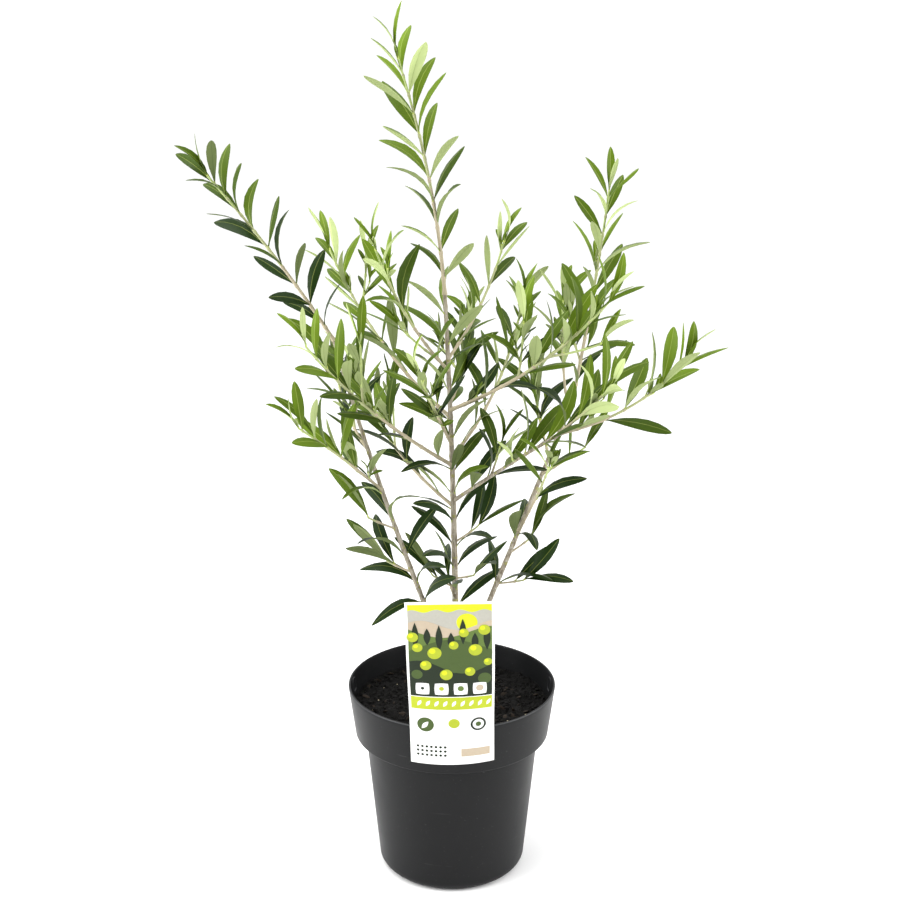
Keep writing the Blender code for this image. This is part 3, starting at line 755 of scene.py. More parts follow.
def turned(vector, axis, degrees):
    """The vector turned about a unit axis: its part along the axis stays and the rest goes round."""
    angle = math.radians(degrees)
    along = axis * vector.dot(axis)
    return along + (vector - along) * math.cos(angle) + np.cross(axis, vector) * math.sin(angle)


def limb_curve(start, limb):
    """A limb's middle line: a running sum of equal steps. Their heading climbs by lift, turns by swing."""
    part = (np.arange(CURVE_STEPS) + 0.5) / CURVE_STEPS
    azimuth = np.radians(limb.azimuth + limb.swing * part)
    rise = np.radians(limb.rise + limb.lift * part)
    heading = np.stack([np.cos(rise) * np.cos(azimuth), np.cos(rise) * np.sin(azimuth), np.sin(rise)], -1)
    steps = np.cumsum(heading * limb.length / CURVE_STEPS, axis=0)
    return np.vstack([start, start + steps])


def point_at(curve, share):
    """The points at one or more shares of the curve's length."""
    place = np.clip(share, 0.0, 1.0) * CURVE_STEPS
    knots = np.arange(CURVE_STEPS + 1)
    return np.stack([np.interp(place, knots, curve[:, axis]) for axis in range(3)], -1)


def heading_at(curve, share):
    index = min(int(max(share, 0.0) * CURVE_STEPS), CURVE_STEPS - 1)
    return unit(curve[index + 1] - curve[index])


def limb_radius(limb, share):
    """A limb's radius at a share of its length, with the root flare on the trunk."""
    radius = limb.foot + (limb.tip - limb.foot) * share**TAPER_POWER
    if limb.parent is None:
        radius = radius + TRUNK_FLARE * np.exp(-share * limb.length / FLARE_LENGTH)
    return radius


def shoot_limb(shoot):
    """A shoot's stem as a limb, thicker at its foot the longer it is."""
    return Limb(*shoot[:-1], SHOOT_TIP + SHOOT_GAIN * shoot.length, SHOOT_TIP)


def foot_share(stem, curve, parent, parent_curve):
    """The share of the stem where the solid's end just clears its parent."""
    along = stem.at / parent.length
    radius = limb_radius(parent, along)
    cosine = abs(heading_at(curve, 0.0).dot(heading_at(parent_curve, along)))
    sine = math.sqrt(1 - cosine * cosine)
    if along >= 1.0:
        return (GAP * cosine + radius * sine) / stem.length
    return (radius + GAP + stem.foot * cosine) / sine / stem.length


# ---------------------------------------------------------------- the growth rule

Leaf = namedtuple("Leaf", "base heading face length stem share spray")
Stem = namedtuple("Stem", "curve limb pairs spray young")
LEAF_PROBE_FACES = [(0, 1, 2), (0, 2, 3), (0, 3, 4), (0, 4, 1), (5, 2, 1), (5, 3, 2), (5, 4, 3), (5, 1, 4)]
TIP_PROBE_FACES = [(0, 1, 2, 3), (4, 0, 1), (4, 1, 2), (4, 2, 3), (4, 3, 0)]


class Growth:
    """What has been placed so far, so that a new twig or leaf can keep clear of it."""

    def __init__(self):
        self.trees = []

    def add(self, owner, points, faces):
        self.trees.append((owner, BVHTree.FromPolygons(points.tolist(), faces)))

    def add_leaf(self, owner, leaf):
        self.add(owner, probe_points(leaf, 0.0), LEAF_PROBE_FACES)

    def blocked(self, owner, points, faces):
        """True where the shape meets anything that isn't the owner's."""
        probe = BVHTree.FromPolygons(points.tolist(), faces)
        return any(name != owner and probe.overlap(tree) for name, tree in self.trees)


def probe_points(leaf, swell):
    """The six corners of a leaf's simplest form: its root, four points round its waist and its tip."""
    across = np.cross(leaf.heading, leaf.face) * (leaf.length * LEAF_WIDTH / 2 + swell)
    through = leaf.face * (leaf.length * LEAF_THICKNESS / 2 + swell)
    waist = leaf.base + leaf.heading * leaf.length * LEAF_WAIST
    tip = leaf.base + leaf.heading * (leaf.length + swell)
    return np.array([leaf.base, waist + across, waist + through, waist - across, waist - through, tip])


def probe_tube(curve, limb, first):
    """A four-sided tube round a stem, as the solids have it."""
    shares = np.linspace(first, 1.0, max(2, round(limb.length * (1 - first) / PROBE_STEP)) + 1)
    quads, ends = tube_faces(len(shares), 4)
    points = tube_points(point_at(curve, shares), limb_radius(limb, shares), 4)
    return points, quads.tolist() + ends.tolist()


def in_space(point, curve):
    """True within the reach of a shoot's space round its stem."""
    return np.linalg.norm(curve - point, axis=1).min() < SPACE


def leaf_heading(stem_heading, side, spin, splay):
    """The heading of a leaf that stands off its stem by splay, at spin about it, and turns upwards."""
    across = turned(side, stem_heading, spin)
    tilt = math.radians(splay)
    return unit(stem_heading * math.cos(tilt) + across * math.sin(tilt) + UP * UPWARD)


def leaf_face(heading, stem_heading, roll):
    """The direction that a leaf's upper side looks: towards the stem's tip and upwards."""
    face = stem_heading + UP * FACE_UP
    return turned(square_to(face, heading), heading, roll)


def grow_leaf(node, base, stem_heading, side, spin, splay, roll, length, growth, space, spray):
    """A leaf at the first turn about its stem that stays in the space and clear of the rest."""
    for turn in TURNS:
        heading = leaf_heading(stem_heading, side, spin + turn, splay)
        face = leaf_face(heading, stem_heading, roll)
        leaf = Leaf(base - heading * ROOT_SINK, heading, face, length, stem_heading, *spray)
        free = in_space(base + heading * length, space)
        if free and not growth.blocked(node, probe_points(leaf, CLEARANCE), LEAF_PROBE_FACES):
            return leaf
    return None


def node_shares(length, first):
    """Where along a stem its pairs of leaves stand, closer together towards the tip."""
    distance = first
    shares = []
    while distance < length - END_BARE:
        shares.append(distance / length)
        distance += PITCH * (1 - PITCH_CLOSING * distance / length)
    return shares


def leaf_profile(share):
    """How long a leaf is at a share of its shoot, from the foot over the middle to the tip."""
    return LEAF_AT_FOOT + LEAF_RISE * math.sin(math.pi * share) - LEAF_FALL * share


def spread(rng, size):
    return rng.uniform(-size, size)


def varied(rng, length):
    """A leaf's length, a little longer or shorter at random."""
    return length * (1 + spread(rng, LENGTH_SPREAD))


def square_to(side, heading):
    """The unit vector nearest to side that is square to the heading."""
    return unit(side - heading * side.dot(heading))


def sprout(node, curve, length, leaf_length, first, with_twigs, rng, growth, space):
    """Pairs of leaves crosswise along a stem. Where a side twig starts, it takes a leaf's place."""
    leaves = []
    twigs = []
    side = side_of(heading_at(curve, 0.0))
    turn = spread(rng, TURN_SPREAD) + PAIR_TURN.get(node, 0.0)
    for count, share in enumerate(node_shares(length, first)):
        heading = heading_at(curve, share)
        side = square_to(side, heading)
        base = point_at(curve, share)
        twig_hand = rng.choice(HANDS)
        with_twig = rng.random() < TWIG_CHANCE and with_twigs and TWIG_FROM < share < TWIG_TO
        for hand in HANDS:
            spin = turn + CROSSED * count + hand + spread(rng, SPIN_SPREAD)
            splay = SPLAY_FOOT + (SPLAY_TIP - SPLAY_FOOT) * share + spread(rng, SPLAY_SPREAD)
            roll = spread(rng, ROLL_SPREAD)
            size = varied(rng, leaf_length * leaf_profile(share))
            if with_twig and hand == twig_hand:
                twigs.append((base, leaf_heading(heading, side, spin, TWIG_SPLAY)))
                continue
            spray = (share, node)
            leaf = grow_leaf(node, base, heading, side, spin, splay, roll, size, growth, space, spray)
            leaves.append(leaf)
    heading = heading_at(curve, 1.0)
    side = square_to(side, heading)
    base = curve[-1] - heading * TIP_SINK
    end_length = leaf_length * (END_LEAF - END_LEAF_LOSS * min(length / TWIG_SHOOT_LENGTH, 1.0))
    for hand in HANDS:
        size = varied(rng, end_length)
        spin = turn + END_TURN + hand + spread(rng, SPIN_SPREAD)
        spray = (1.0, node)
        leaf = grow_leaf(node, base, heading, side, spin, END_SPLAY, 0.0, size, growth, space, spray)
        leaves.append(leaf)
    return [leaf for leaf in leaves if leaf], twigs


def twig_limb(heading, length, foot=TWIG_FOOT, tip=SHOOT_TIP):
    """A side twig as a limb that bends a little upwards."""
    azimuth = math.degrees(math.atan2(heading[1], heading[0]))
    rise = math.degrees(math.asin(heading[2]))
    return Limb("stem", 0.0, azimuth, rise, length, TWIG_LIFT, 0, foot, tip)


def grow_twig(node, base, heading, length, growth, space):
    """A side twig's limb and curve, or None where it would leave the space or meet something."""
    limb = twig_limb(heading, length)
    curve = limb_curve(base, limb)
    points, faces = probe_tube(curve, limb, 0.0)
    if growth.blocked(node, points, faces) or not in_space(curve[-1], space):
        return None
    growth.add(node, points, faces)
    return limb, curve


def grow_shoot(node, curve, shoot, first, growth):
    """One shoot's leaves and side twigs, by the rule of the solids."""
    rng = random.Random(node)
    with_twigs = shoot.length > TWIG_SHOOT_LENGTH and node not in PLAIN_TOPS
    first_pair = first * shoot.length + FIRST_PAIR
    size = (shoot.length, shoot.leaf, first_pair)
    leaves, starts = sprout(node, curve, *size, with_twigs, rng, growth, curve)
    stems = [Stem(curve, shoot_limb(shoot), node_shares(shoot.length, first_pair), node, 0.0)]
    for base, heading in starts:
        length = TWIG_LENGTH * (1 + spread(rng, TWIG_LENGTH_SPREAD))
        twig = grow_twig(node, base, heading, length, growth, curve)
        if twig:
            limb, twig_curve = twig
            size = (length, shoot.leaf * TWIG_LEAF, FIRST_PAIR)
            leaves += sprout(node, twig_curve, *size, False, rng, growth, curve)[0]
            stems.append(Stem(twig_curve, limb, node_shares(length, FIRST_PAIR), node, TWIG_YOUTH))
    for leaf in leaves:
        growth.add_leaf(node, leaf)
    return leaves, stems


def grow_sprouts(leaves, shoot, curve, rng, growth):
    """Small sprouts in the axils of some leaves, each with a pair or two of small leaves."""
    grown = []
    stems = []
    chance = TIP_SPROUT_CHANCE if shoot.at >= LIMBS[shoot.parent].length else SPROUT_CHANCE
    for leaf in leaves:
        length = rng.uniform(SPROUT_FROM, SPROUT_TO)
        if leaf.share >= 1.0 or rng.random() > chance or leaf.spray in PLAIN_TOPS:
            continue
        heading = unit(leaf.stem + leaf.heading)
        limb = twig_limb(heading, length, SPROUT_RADIUS, SPROUT_RADIUS)
        start = leaf.base + leaf.stem * SPROUT_RADIUS
        sprig = limb_curve(start, limb)
        if not in_space(sprig[-1], curve):
            continue
        small = varied(rng, shoot.leaf * SPROUT_LEAF)
        owner = leaf.spray
        grown += sprout(owner, sprig, length, small, SPROUT_FIRST, False, rng, growth, curve)[0]
        stems.append(Stem(sprig, limb, [], owner, SPROUT_YOUTH))
    for leaf in grown:
        growth.add_leaf(leaf.spray, leaf)
    return grown, stems


def grow_bud(node, stem, leaf_length, rng, growth, space):
    """The closed pair of young leaves at a stem's tip, crossed with its last pair."""
    curve = stem.curve
    heading = heading_at(curve, 1.0)
    side = side_of(heading)
    buds = []
    for hand in HANDS:
        size = varied(rng, leaf_length * BUD_LEAF)
        base = curve[-1] - heading * ROOT_SINK
        spin = END_TURN + CROSSED + hand
        spray = (1.0, node)
        bud = grow_leaf(node, base, heading, side, spin, BUD_SPLAY, 0.0, size, growth, space, spray)
        buds.append(bud)
    return [leaf for leaf in buds if leaf]


def grow_held_leaf(node, shoot, parent_curve, rng, growth):
    """The old leaf that a side shoot grew from, just under its foot."""
    parent = LIMBS[shoot.parent]
    if shoot.at >= parent.length or rng.random() > HELD_LEAF_CHANCE:
        return []
    share = (shoot.at - HELD_LEAF_DROP) / parent.length
    base = point_at(parent_curve, share)
    stem_heading = heading_at(parent_curve, share)
    azimuth = math.radians(shoot.azimuth)
    rise = math.radians(HELD_LEAF_RISE)
    level = math.cos(rise)
    heading = np.array((level * math.cos(azimuth), level * math.sin(azimuth), math.sin(rise)))
    base = base + heading * (limb_radius(parent, share) - ROOT_SINK)
    face = leaf_face(heading, stem_heading, spread(rng, ROLL_SPREAD))
    leaf = Leaf(base, heading, face, shoot.leaf * HELD_LEAF, stem_heading, HELD_LEAF_SHARE, node)
    if growth.blocked(node, probe_points(leaf, CLEARANCE)[1:], TIP_PROBE_FACES):
        return []
    growth.add_leaf(node, leaf)
    return [leaf]


def shed(node, leaves, shoot, rng):
    """The leaves that a shoot keeps: the foot of a long side shoot has lost some of its oldest."""
    bare = THINNED.get(node, 0.0)
    leaves = [leaf for leaf in leaves if leaf.share >= 1.0 or rng.random() > bare]
    if shoot.length < SPUR_LENGTH:
        return [leaf for leaf in leaves if leaf.share >= 1.0 or rng.random() > SPUR_BARE_CHANCE]
    if shoot.length < TWIG_SHOOT_LENGTH or shoot.at >= LIMBS[shoot.parent].length:
        return leaves
    return [leaf for leaf in leaves if leaf.share > BARE_FOOT or rng.random() > BARE_CHANCE]


def grow_limb_pairs(limb_name, curve, space, growth):
    """Opposite pairs of old leaves along the low part of a limb, each crossed with the next."""
    limb = LIMBS[limb_name]
    rng = random.Random("pairs_" + limb_name)
    leaves = []
    side = side_of(heading_at(curve, 0.0))
    turn = spread(rng, LIMB_TURN_SPREAD)
    for count, distance in enumerate(LIMB_PAIRS[limb_name]):
        share = distance / limb.length
        heading = heading_at(curve, share)
        side = square_to(side, heading)
        for hand in HANDS:
            spin = turn + CROSSED * count + hand + spread(rng, SPIN_SPREAD)
            splay = LIMB_SPLAY + spread(rng, SPLAY_SPREAD)
            roll = spread(rng, ROLL_SPREAD)
            size = varied(rng, LIMB_LEAF)
            across = turned(side, heading, spin)
            base = point_at(curve, share) + across * (limb_radius(limb, share) - ROOT_SINK)
            spray = (share, limb_name)
            leaf = grow_leaf(limb_name, base, heading, side, spin, splay, roll, size, growth, space, spray)
            if leaf:
                leaves.append(leaf)
                growth.add_leaf(limb_name, leaf)
    return leaves


@functools.cache
def grown_plant():
    """Every limb's curve, and every stem and leaf of the crown."""
    start = np.array((*TRUNK_FOOT, SOIL_TOP + GAP))
    curves = {"trunk": limb_curve(start, TRUNK)}
    for name, bough in BOUGHS.items():
        curves[name] = limb_curve(point_at(curves["trunk"], bough.at / TRUNK.length), bough)
    growth = Growth()
    for node in ("pot", "potting_mix", "label", *LIMBS):
        mesh = frame["nodes"][node].data
        corners = np.array([vertex.co for vertex in mesh.vertices])
        growth.add(node, corners, [list(face.vertices) for face in mesh.polygons])
    shoots = {}
    for name, shoot in SHOOTS.items():
        limb = shoot_limb(shoot)
        parent = LIMBS[shoot.parent]
        curve = limb_curve(point_at(curves[shoot.parent], shoot.at / parent.length), limb)
        first = foot_share(limb, curve, parent, curves[shoot.parent])
        growth.add("foliage_" + name, *probe_tube(curve, limb, first))
        shoots["foliage_" + name] = (curve, shoot, first)
    leaves = []
    stems = []
    for node, (curve, shoot, first) in shoots.items():
        own_leaves, own_stems = grow_shoot(node, curve, shoot, first, growth)
        leaves += shed(node, own_leaves, shoot, random.Random("shed_" + node))
        stems += own_stems
    reach = np.concatenate([curve for curve, _, _ in shoots.values()])
    for limb_name in LIMB_PAIRS:
        leaves += grow_limb_pairs(limb_name, curves[limb_name], reach, growth)
    for node, (curve, shoot, _) in shoots.items():
        rng = random.Random("fine_" + node)
        own_leaves = [leaf for leaf in leaves if leaf.spray == node]
        own_stems = [stem for stem in stems if stem.spray == node]
        if shoot.length < SPUR_LENGTH:
            continue
        fine_leaves, fine_stems = grow_sprouts(own_leaves, shoot, curve, rng, growth)
        for stem in own_stems:
            fine_leaves += grow_bud(node, stem, shoot.leaf, rng, growth, curve)
        fine_leaves += grow_held_leaf(node, shoot, curves[shoot.parent], rng, growth)
        leaves += fine_leaves
        stems += fine_stems
    return curves, stems, leaves


# ---------------------------------------------------------------- pot


def lip_radius(height):
    """Outer radius of the flared lip at a height."""
    part = (height - LIP_FOOT_HEIGHT) / (POT_HEIGHT - LIP_FOOT_HEIGHT)
    return LIP_FOOT_RADIUS + (RIM_RADIUS - LIP_FOOT_RADIUS) * part


def body_radius(height):
    """Outer radius of the tapering body at a height."""
    part = (height - BASE_ROUND) / (LIP_FOOT_HEIGHT - BASE_ROUND)
    return BASE_RADIUS + (BODY_TOP_RADIUS - BASE_RADIUS) * part


def arc(centre, radius, start, end, steps):
    """Points of a rounding, its angles in degrees from +X towards +Z."""
    angles = np.radians(np.linspace(start, end, steps + 1))
    return np.stack([centre[0] + radius * np.cos(angles), centre[1] + radius * np.sin(angles)], -1)


def line(start, end, steps):
    """Points from start up to, and without, end."""
    share = np.arange(steps)[:, None] / steps
    return np.asarray(start) + (np.asarray(end) - np.asarray(start)) * share


def pot_profile():
    """The pot's outline in radius and height.

    It runs from the middle of the inside up to the rim, and down the outside to the middle of the base.
    """
    half = POT_WALL / 2
    rim_foot = POT_HEIGHT - half
    rim = arc((lip_radius(rim_foot) - half, rim_foot), half, 180, 0, steps=8)
    edge = LIP_FOOT_HEIGHT + LIP_FOOT_ROUND
    lip_foot = arc((lip_radius(edge) - LIP_FOOT_ROUND, edge), LIP_FOOT_ROUND, 0, -90, steps=5)
    neck = BODY_TOP_RADIUS + SHOULDER_ROUND
    shoulder = arc((neck, LIP_FOOT_HEIGHT - SHOULDER_ROUND), SHOULDER_ROUND, 90, 180, steps=3)[1:]
    base = arc((BASE_RADIUS - BASE_ROUND, BASE_ROUND), BASE_ROUND, 0, -90, steps=8)
    stand = [(STAND_RADIUS, 0.0), (HOLLOW_RADIUS, HOLLOW_DEPTH), (0.0, HOLLOW_DEPTH)]
    outside = [rim, line(rim[-1], lip_foot[0], steps=12)[1:], lip_foot, [(neck, LIP_FOOT_HEIGHT)], shoulder]
    outside += [line(shoulder[-1], base[0], steps=30)[1:], base, stand]
    shelf = LIP_FOOT_HEIGHT + POT_WALL
    lip_inside = (lip_radius(shelf) - POT_WALL, shelf)
    wall_top = (body_radius(LIP_FOOT_HEIGHT) - POT_WALL, shelf)
    wall_foot = (body_radius(BASE_ROUND) - POT_WALL, POT_FLOOR + BASE_ROUND)
    inside = [[(0.0, POT_FLOOR), (BASE_RADIUS - BASE_ROUND, POT_FLOOR)]]
    inside += [line(wall_foot, wall_top, steps=10), [wall_top], [lip_inside]]
    inside += [line(lip_inside, rim[0], steps=8)[1:]]
    return np.concatenate([np.concatenate(inside), np.concatenate(outside)])


def lathe(parts, profile, segments, slots):
    """A closed profile that starts and ends on the axis, turned about Z, with a fan at each pole.

    slots has the material of each strip between two points of the profile, without the fans.
    """
    body = profile[1:-1]
    rings = turned_points(body[:, 0], body[:, 1], -circle(segments))
    poles = np.array([(0.0, 0.0, profile[0, 1]), (0.0, 0.0, profile[-1, 1])])
    points = np.vstack([rings, poles])
    parts.add(points, turned_faces(len(body), segments), (np.repeat(slots, segments), 0, 0))


def hanger_frame(azimuth, height, wide, tall, bead):
    """A bead along a rounded rectangle on the inner wall.

    The path is a superellipse, (w/2) sgn(cos a) |cos a|^p across and the same with sin a and the
    height, laid on the cone of the wall. The bead is a circle carried round it, closed both ways.
    """
    turn = circle(FRAME_STEPS)
    across = wide / 2 * np.sign(np.cos(turn)) * np.abs(np.cos(turn)) ** FRAME_POWER
    up = height + tall / 2 * np.sign(np.sin(turn)) * np.abs(np.sin(turn)) ** FRAME_POWER
    radius = lip_radius(up) - POT_WALL
    angle = math.radians(azimuth) + across / radius
    wall = np.stack([radius * np.cos(angle), radius * np.sin(angle), up], -1)
    inward = np.stack([-np.cos(angle), -np.sin(angle), np.zeros_like(angle)], -1)
    heading = unit(np.roll(wall, -1, axis=0) - np.roll(wall, 1, axis=0))
    second = unit(np.cross(heading, inward))
    spin = circle(FRAME_SIDES)
    ring = inward[:, None] * np.cos(spin)[:, None] + second[:, None] * np.sin(spin)[:, None]
    faces = wrapped_quads(FRAME_STEPS, FRAME_SIDES, wrap_rows=True)
    return (wall[:, None] + ring * bead).reshape(-1, 3), faces


# ---------------------------------------------------------------- potting mix


def soil_height(x, y):
    """The mix's level: a low mound, and lumps of four sizes from lattice noise."""
    level = SOIL_TOP - SOIL_DROP + SOIL_MOUND * np.cos(np.hypot(x, y) / SOIL_MOUND_RADIUS * math.pi / 2)
    for height, cell, seed in SOIL_LUMPS:
        level = level + height * lattice_noise(x, y, cell, seed)
    return level


def soil_points():
    """The mix's surface on circles about Z, with its wall, its floor and the two poles after them."""
    edge = lip_radius(SOIL_TOP) - POT_WALL - GAP
    radius = edge * np.linspace(0.0, 1.0, SOIL_RINGS + 1)[1:]
    angle = -circle(SOIL_SEGMENTS)
    x = radius[:, None] * np.cos(angle)
    y = radius[:, None] * np.sin(angle)
    top = np.stack([x, y, soil_height(x, y)], -1).reshape(-1, 3)
    shelf = LIP_FOOT_HEIGHT + POT_WALL + GAP
    waist = body_radius(LIP_FOOT_HEIGHT) - POT_WALL - GAP
    foot = body_radius(BASE_ROUND) - POT_WALL - GAP
    floor = POT_FLOOR + GAP
    wall = [(lip_radius(shelf) - POT_WALL - GAP, shelf), (waist, shelf), (foot, BASE_ROUND + floor)]
    wall = np.array([*wall, (BASE_RADIUS - BASE_ROUND, floor)])
    sides = turned_points(wall[:, 0], wall[:, 1], angle)
    poles = np.array([(0.0, 0.0, soil_height(0.0, 0.0)), (0.0, 0.0, floor)])
    return np.vstack([top, sides, poles]), turned_faces(SOIL_RINGS + len(wall), SOIL_SEGMENTS)


def unit_lump():
    """An icosahedron's corners and faces, from the golden ratio's three crossed rectangles."""
    gold = (1 + math.sqrt(5)) / 2
    corners = [(a, b * gold, 0.0) for a in (-1, 1) for b in (-1, 1)]
    corners += [(0.0, a, b * gold) for a in (-1, 1) for b in (-1, 1)]
    corners += [(b * gold, 0.0, a) for a in (-1, 1) for b in (-1, 1)]
    points = unit(np.array(corners))
    gaps = np.linalg.norm(points[:, None] - points, axis=-1)
    near = (gaps > LUMP_EDGE[0]) & (gaps < LUMP_EDGE[1])
    triples = ((i, j, k) for i in range(LUMP_CORNERS) for j in range(i) for k in range(j))
    faces = np.array([(i, j, k) for i, j, k in triples if near[i, j] and near[j, k] and near[i, k]])
    normal = np.cross(points[faces[:, 1]] - points[faces[:, 0]], points[faces[:, 2]] - points[faces[:, 0]])
    inward = (normal * points[faces[:, 0]]).sum(-1) < 0
    faces[inward] = faces[inward][:, ::-1]
    return points, faces


def scattered_lumps(count, litter, rng):
    """Lumps strewn over the mix: one icosahedron, stretched, knocked about, turned at random and set down.

    A point is the centre plus a rotation of (corner times size times shape times a random factor).
    """
    corners, faces = unit_lump()
    radius = litter.reach * np.sqrt(rng.uniform(LEAST_REACH, 1.0, count))
    angle = rng.uniform(0.0, math.tau, count)
    size = np.exp(rng.uniform(math.log(litter.least), math.log(litter.most), count))
    stretch = size[:, None] * (1 + rng.uniform(-LUMP_STRETCH, LUMP_STRETCH, (count, 3))) * litter.shape
    knock = 1 + rng.uniform(-LUMP_KNOCK, LUMP_KNOCK, (count, LUMP_CORNERS, 1))
    knocked = corners * stretch[:, None] * knock
    turn = unit(rng.normal(size=(count, 4)) * LUMP_TURN)
    w, axis = turn[:, :1, None], turn[:, None, 1:]
    swing = np.cross(axis, knocked)
    rolled = knocked + 2 * (w * swing + np.cross(axis, swing))
    x = radius * np.cos(angle)
    y = radius * np.sin(angle)
    centre = np.stack([x, y, soil_height(x, y) + LUMP_RISE * size], -1)
    points = (rolled + centre[:, None]).reshape(-1, 3)
    return points, (faces + LUMP_CORNERS * np.arange(count)[:, None, None]).reshape(-1, 3)


# ---------------------------------------------------------------- label


def card_points(across, up):
    """Points on the card's back: up is measured along the card from the rim.

    Below the rim the card lies on the lip. Above it leans outwards, and its bow round the pot fades
    with height until it is flat.
    """
    slope = math.atan2(RIM_RADIUS - LIP_FOOT_RADIUS, POT_HEIGHT - LIP_FOOT_HEIGHT)
    lean = np.where(up > 0, math.radians(LABEL_LEAN), slope)
    reach = RIM_RADIUS + GAP + up * np.sin(lean)
    height = POT_HEIGHT + up * np.cos(lean)
    fade = np.clip(up / LABEL_FLAT_AT, 0.0, LABEL_MOST_FLAT)
    bow = (1 - fade * fade * (3 - 2 * fade)) / np.minimum(reach, RIM_RADIUS)
    angle = across * bow
    return np.stack([np.sin(angle) / bow, (1 - np.cos(angle)) / bow - reach, height], -1)


def on_card(across, up, proud):
    """Points at a height over the card's back, with its roll, along a normal from small steps."""
    roll = math.radians(LABEL_ROLL)
    turned_across = across * math.cos(roll) - up * math.sin(roll)
    turned_up = up * math.cos(roll) + across * math.sin(roll)
    place = card_points(turned_across, turned_up)
    above = card_points(turned_across, turned_up + CARD_STEP)
    below = card_points(turned_across, turned_up - CARD_STEP)
    right = card_points(turned_across + CARD_STEP, turned_up)
    left = card_points(turned_across - CARD_STEP, turned_up)
    return place + unit(np.cross(right - left, above - below)) * proud


def card_sheet(parts, outline, low, high, rows, columns, slot):
    """A closed sheet on the card: outline(u, v) gives across and up, laid at the heights low and high."""
    v, u = np.meshgrid(np.linspace(0.0, 1.0, rows), np.linspace(0.0, 1.0, columns), indexing="ij")
    across, up = outline(u, v)
    top = on_card(across, up, high)
    under = on_card(across, up, low)
    points = np.concatenate([top, under[:, ::-1]], axis=1).reshape(-1, 3)
    parts.add(points, sheet_faces(rows, columns), slot)


def box_outline(left, right, foot, head):
    """A rectangle: both places run evenly with u and v."""
    return lambda u, v: (left + (right - left) * u, foot + (head - foot) * v)


def disc_outline(across, up, radius, roundness=1.0):
    """A disc: the square -1..1 drawn to a circle by x sqrt(1 - y^2/2) and y sqrt(1 - x^2/2).

    With less roundness, the halved squares shrink by it and a rounded square is left.
    """

    def outline(u, v):
        x = 2 * u - 1
        y = 2 * v - 1
        wide = np.sqrt(1 - roundness * y * y / 2)
        tall = np.sqrt(1 - roundness * x * x / 2)
        return across + radius * x * wide, up + radius * y * tall

    return outline


def wave_outline(left, right, foot, level, height, waves, phase):
    """A strip from a level foot up to a wavy edge, level plus height times the sine of u."""

    def outline(u, v):
        edge = level + height * np.sin(waves * math.tau * u + phase)
        return left + (right - left) * u, foot + (edge - foot) * v

    return outline


def blade_outline(across, up, length, width, turn):
    """A pointed leaf: its half-width runs as the sine of v, and it is turned about its foot."""

    def outline(u, v):
        half = width / 2 * (np.sin(math.pi * v) + 0.03)
        x = half * (2 * u - 1)
        y = length * v
        angle = math.radians(turn)
        cosine, sine = math.cos(angle), math.sin(angle)
        return across + x * cosine - y * sine, up + y * cosine + x * sine

    return outline


# ---------------------------------------------------------------- leaves

LEAF_ROWS = np.array((0.0, 0.065, 0.16, 0.31, 0.48, 0.65, 0.81, 0.92, 0.98))
RING_SIDES = 6
# Where each corner of a leaf's section lies: its share of the half-width, its rib's hand and its height.
RING_ACROSS = np.array((-1.0, 0.0, 0.0, 1.0, 0.0, 0.0))
RING_RIB = np.array((0, -1, 1, 0, 1, -1))
RING_HEIGHT = np.array((0.0, 1.0, 1.0, 0.0, -1.0, -1.0))
LIGHT = unit(np.array((0.0, -0.5, 0.87)))
LIFT_BAND = (0.20, 0.36)  # leaves hang below the first height and stand up to the light above the second
LIFT_RANGE = (0.45, 1.35)
LOW_LEAF_SAG = 0.34
SMALL_LEAF = (0.022, 0.040)  # a leaf of the first length is small all the way, and of the second not at all
SMALL_LEAF_WIDER = 0.25
WIDTH_RANGE = (0.86, 1.12)
MOST_SWAY = 0.04
DROOP_BAND = (0.24, 0.50)
DROOP_RANGE = (0.4, 1.0)
DROOP_ANYWHERE = 0.4
CUP_RANGE = (0.16, 0.46)
CUPPED_DOWN = 0.6  # share of the leaves
FREE_ROLL = 0.26
MOST_ROLL = 0.9
ROLL_BAND = (0.0, 0.2)
FREE_TWIST = 0.42
MOST_TWIST = 0.9
STALK_BAND = (0.05, 0.22)
RIB_TAPER = 0.6
RIB_MOST = 0.3
THICKNESS_TAPER = 0.7
BLADE_FOOT_POWER = 0.92
BLADE_TIP_POWER = 0.70
UPPER, UNDER, RIB, UNDER_RIB, STALK = range(5)
RING_SLOTS = np.array((UPPER, RIB, UPPER, UNDER, UNDER_RIB, UNDER))
RIB_TONE = 0.34  # from the upper side's colour to the stalk's
UNDER_RIB_TONE = 0.3  # from the underside's colour to the upper side's


def blade_half_width(share, width):
    """Half a blade's width: t^a (1 - t)^b over its largest value, from the petiole's end to the tip."""
    blade = np.clip((share - LEAF_ROWS[1]) / (1 - LEAF_ROWS[1]), 0.0, 1.0)
    foot, tip = BLADE_FOOT_POWER, BLADE_TIP_POWER
    waist = foot / (foot + tip)
    largest = waist**foot * (1 - waist) ** tip
    return width / 2 * blade**foot * (1 - blade) ** tip / largest


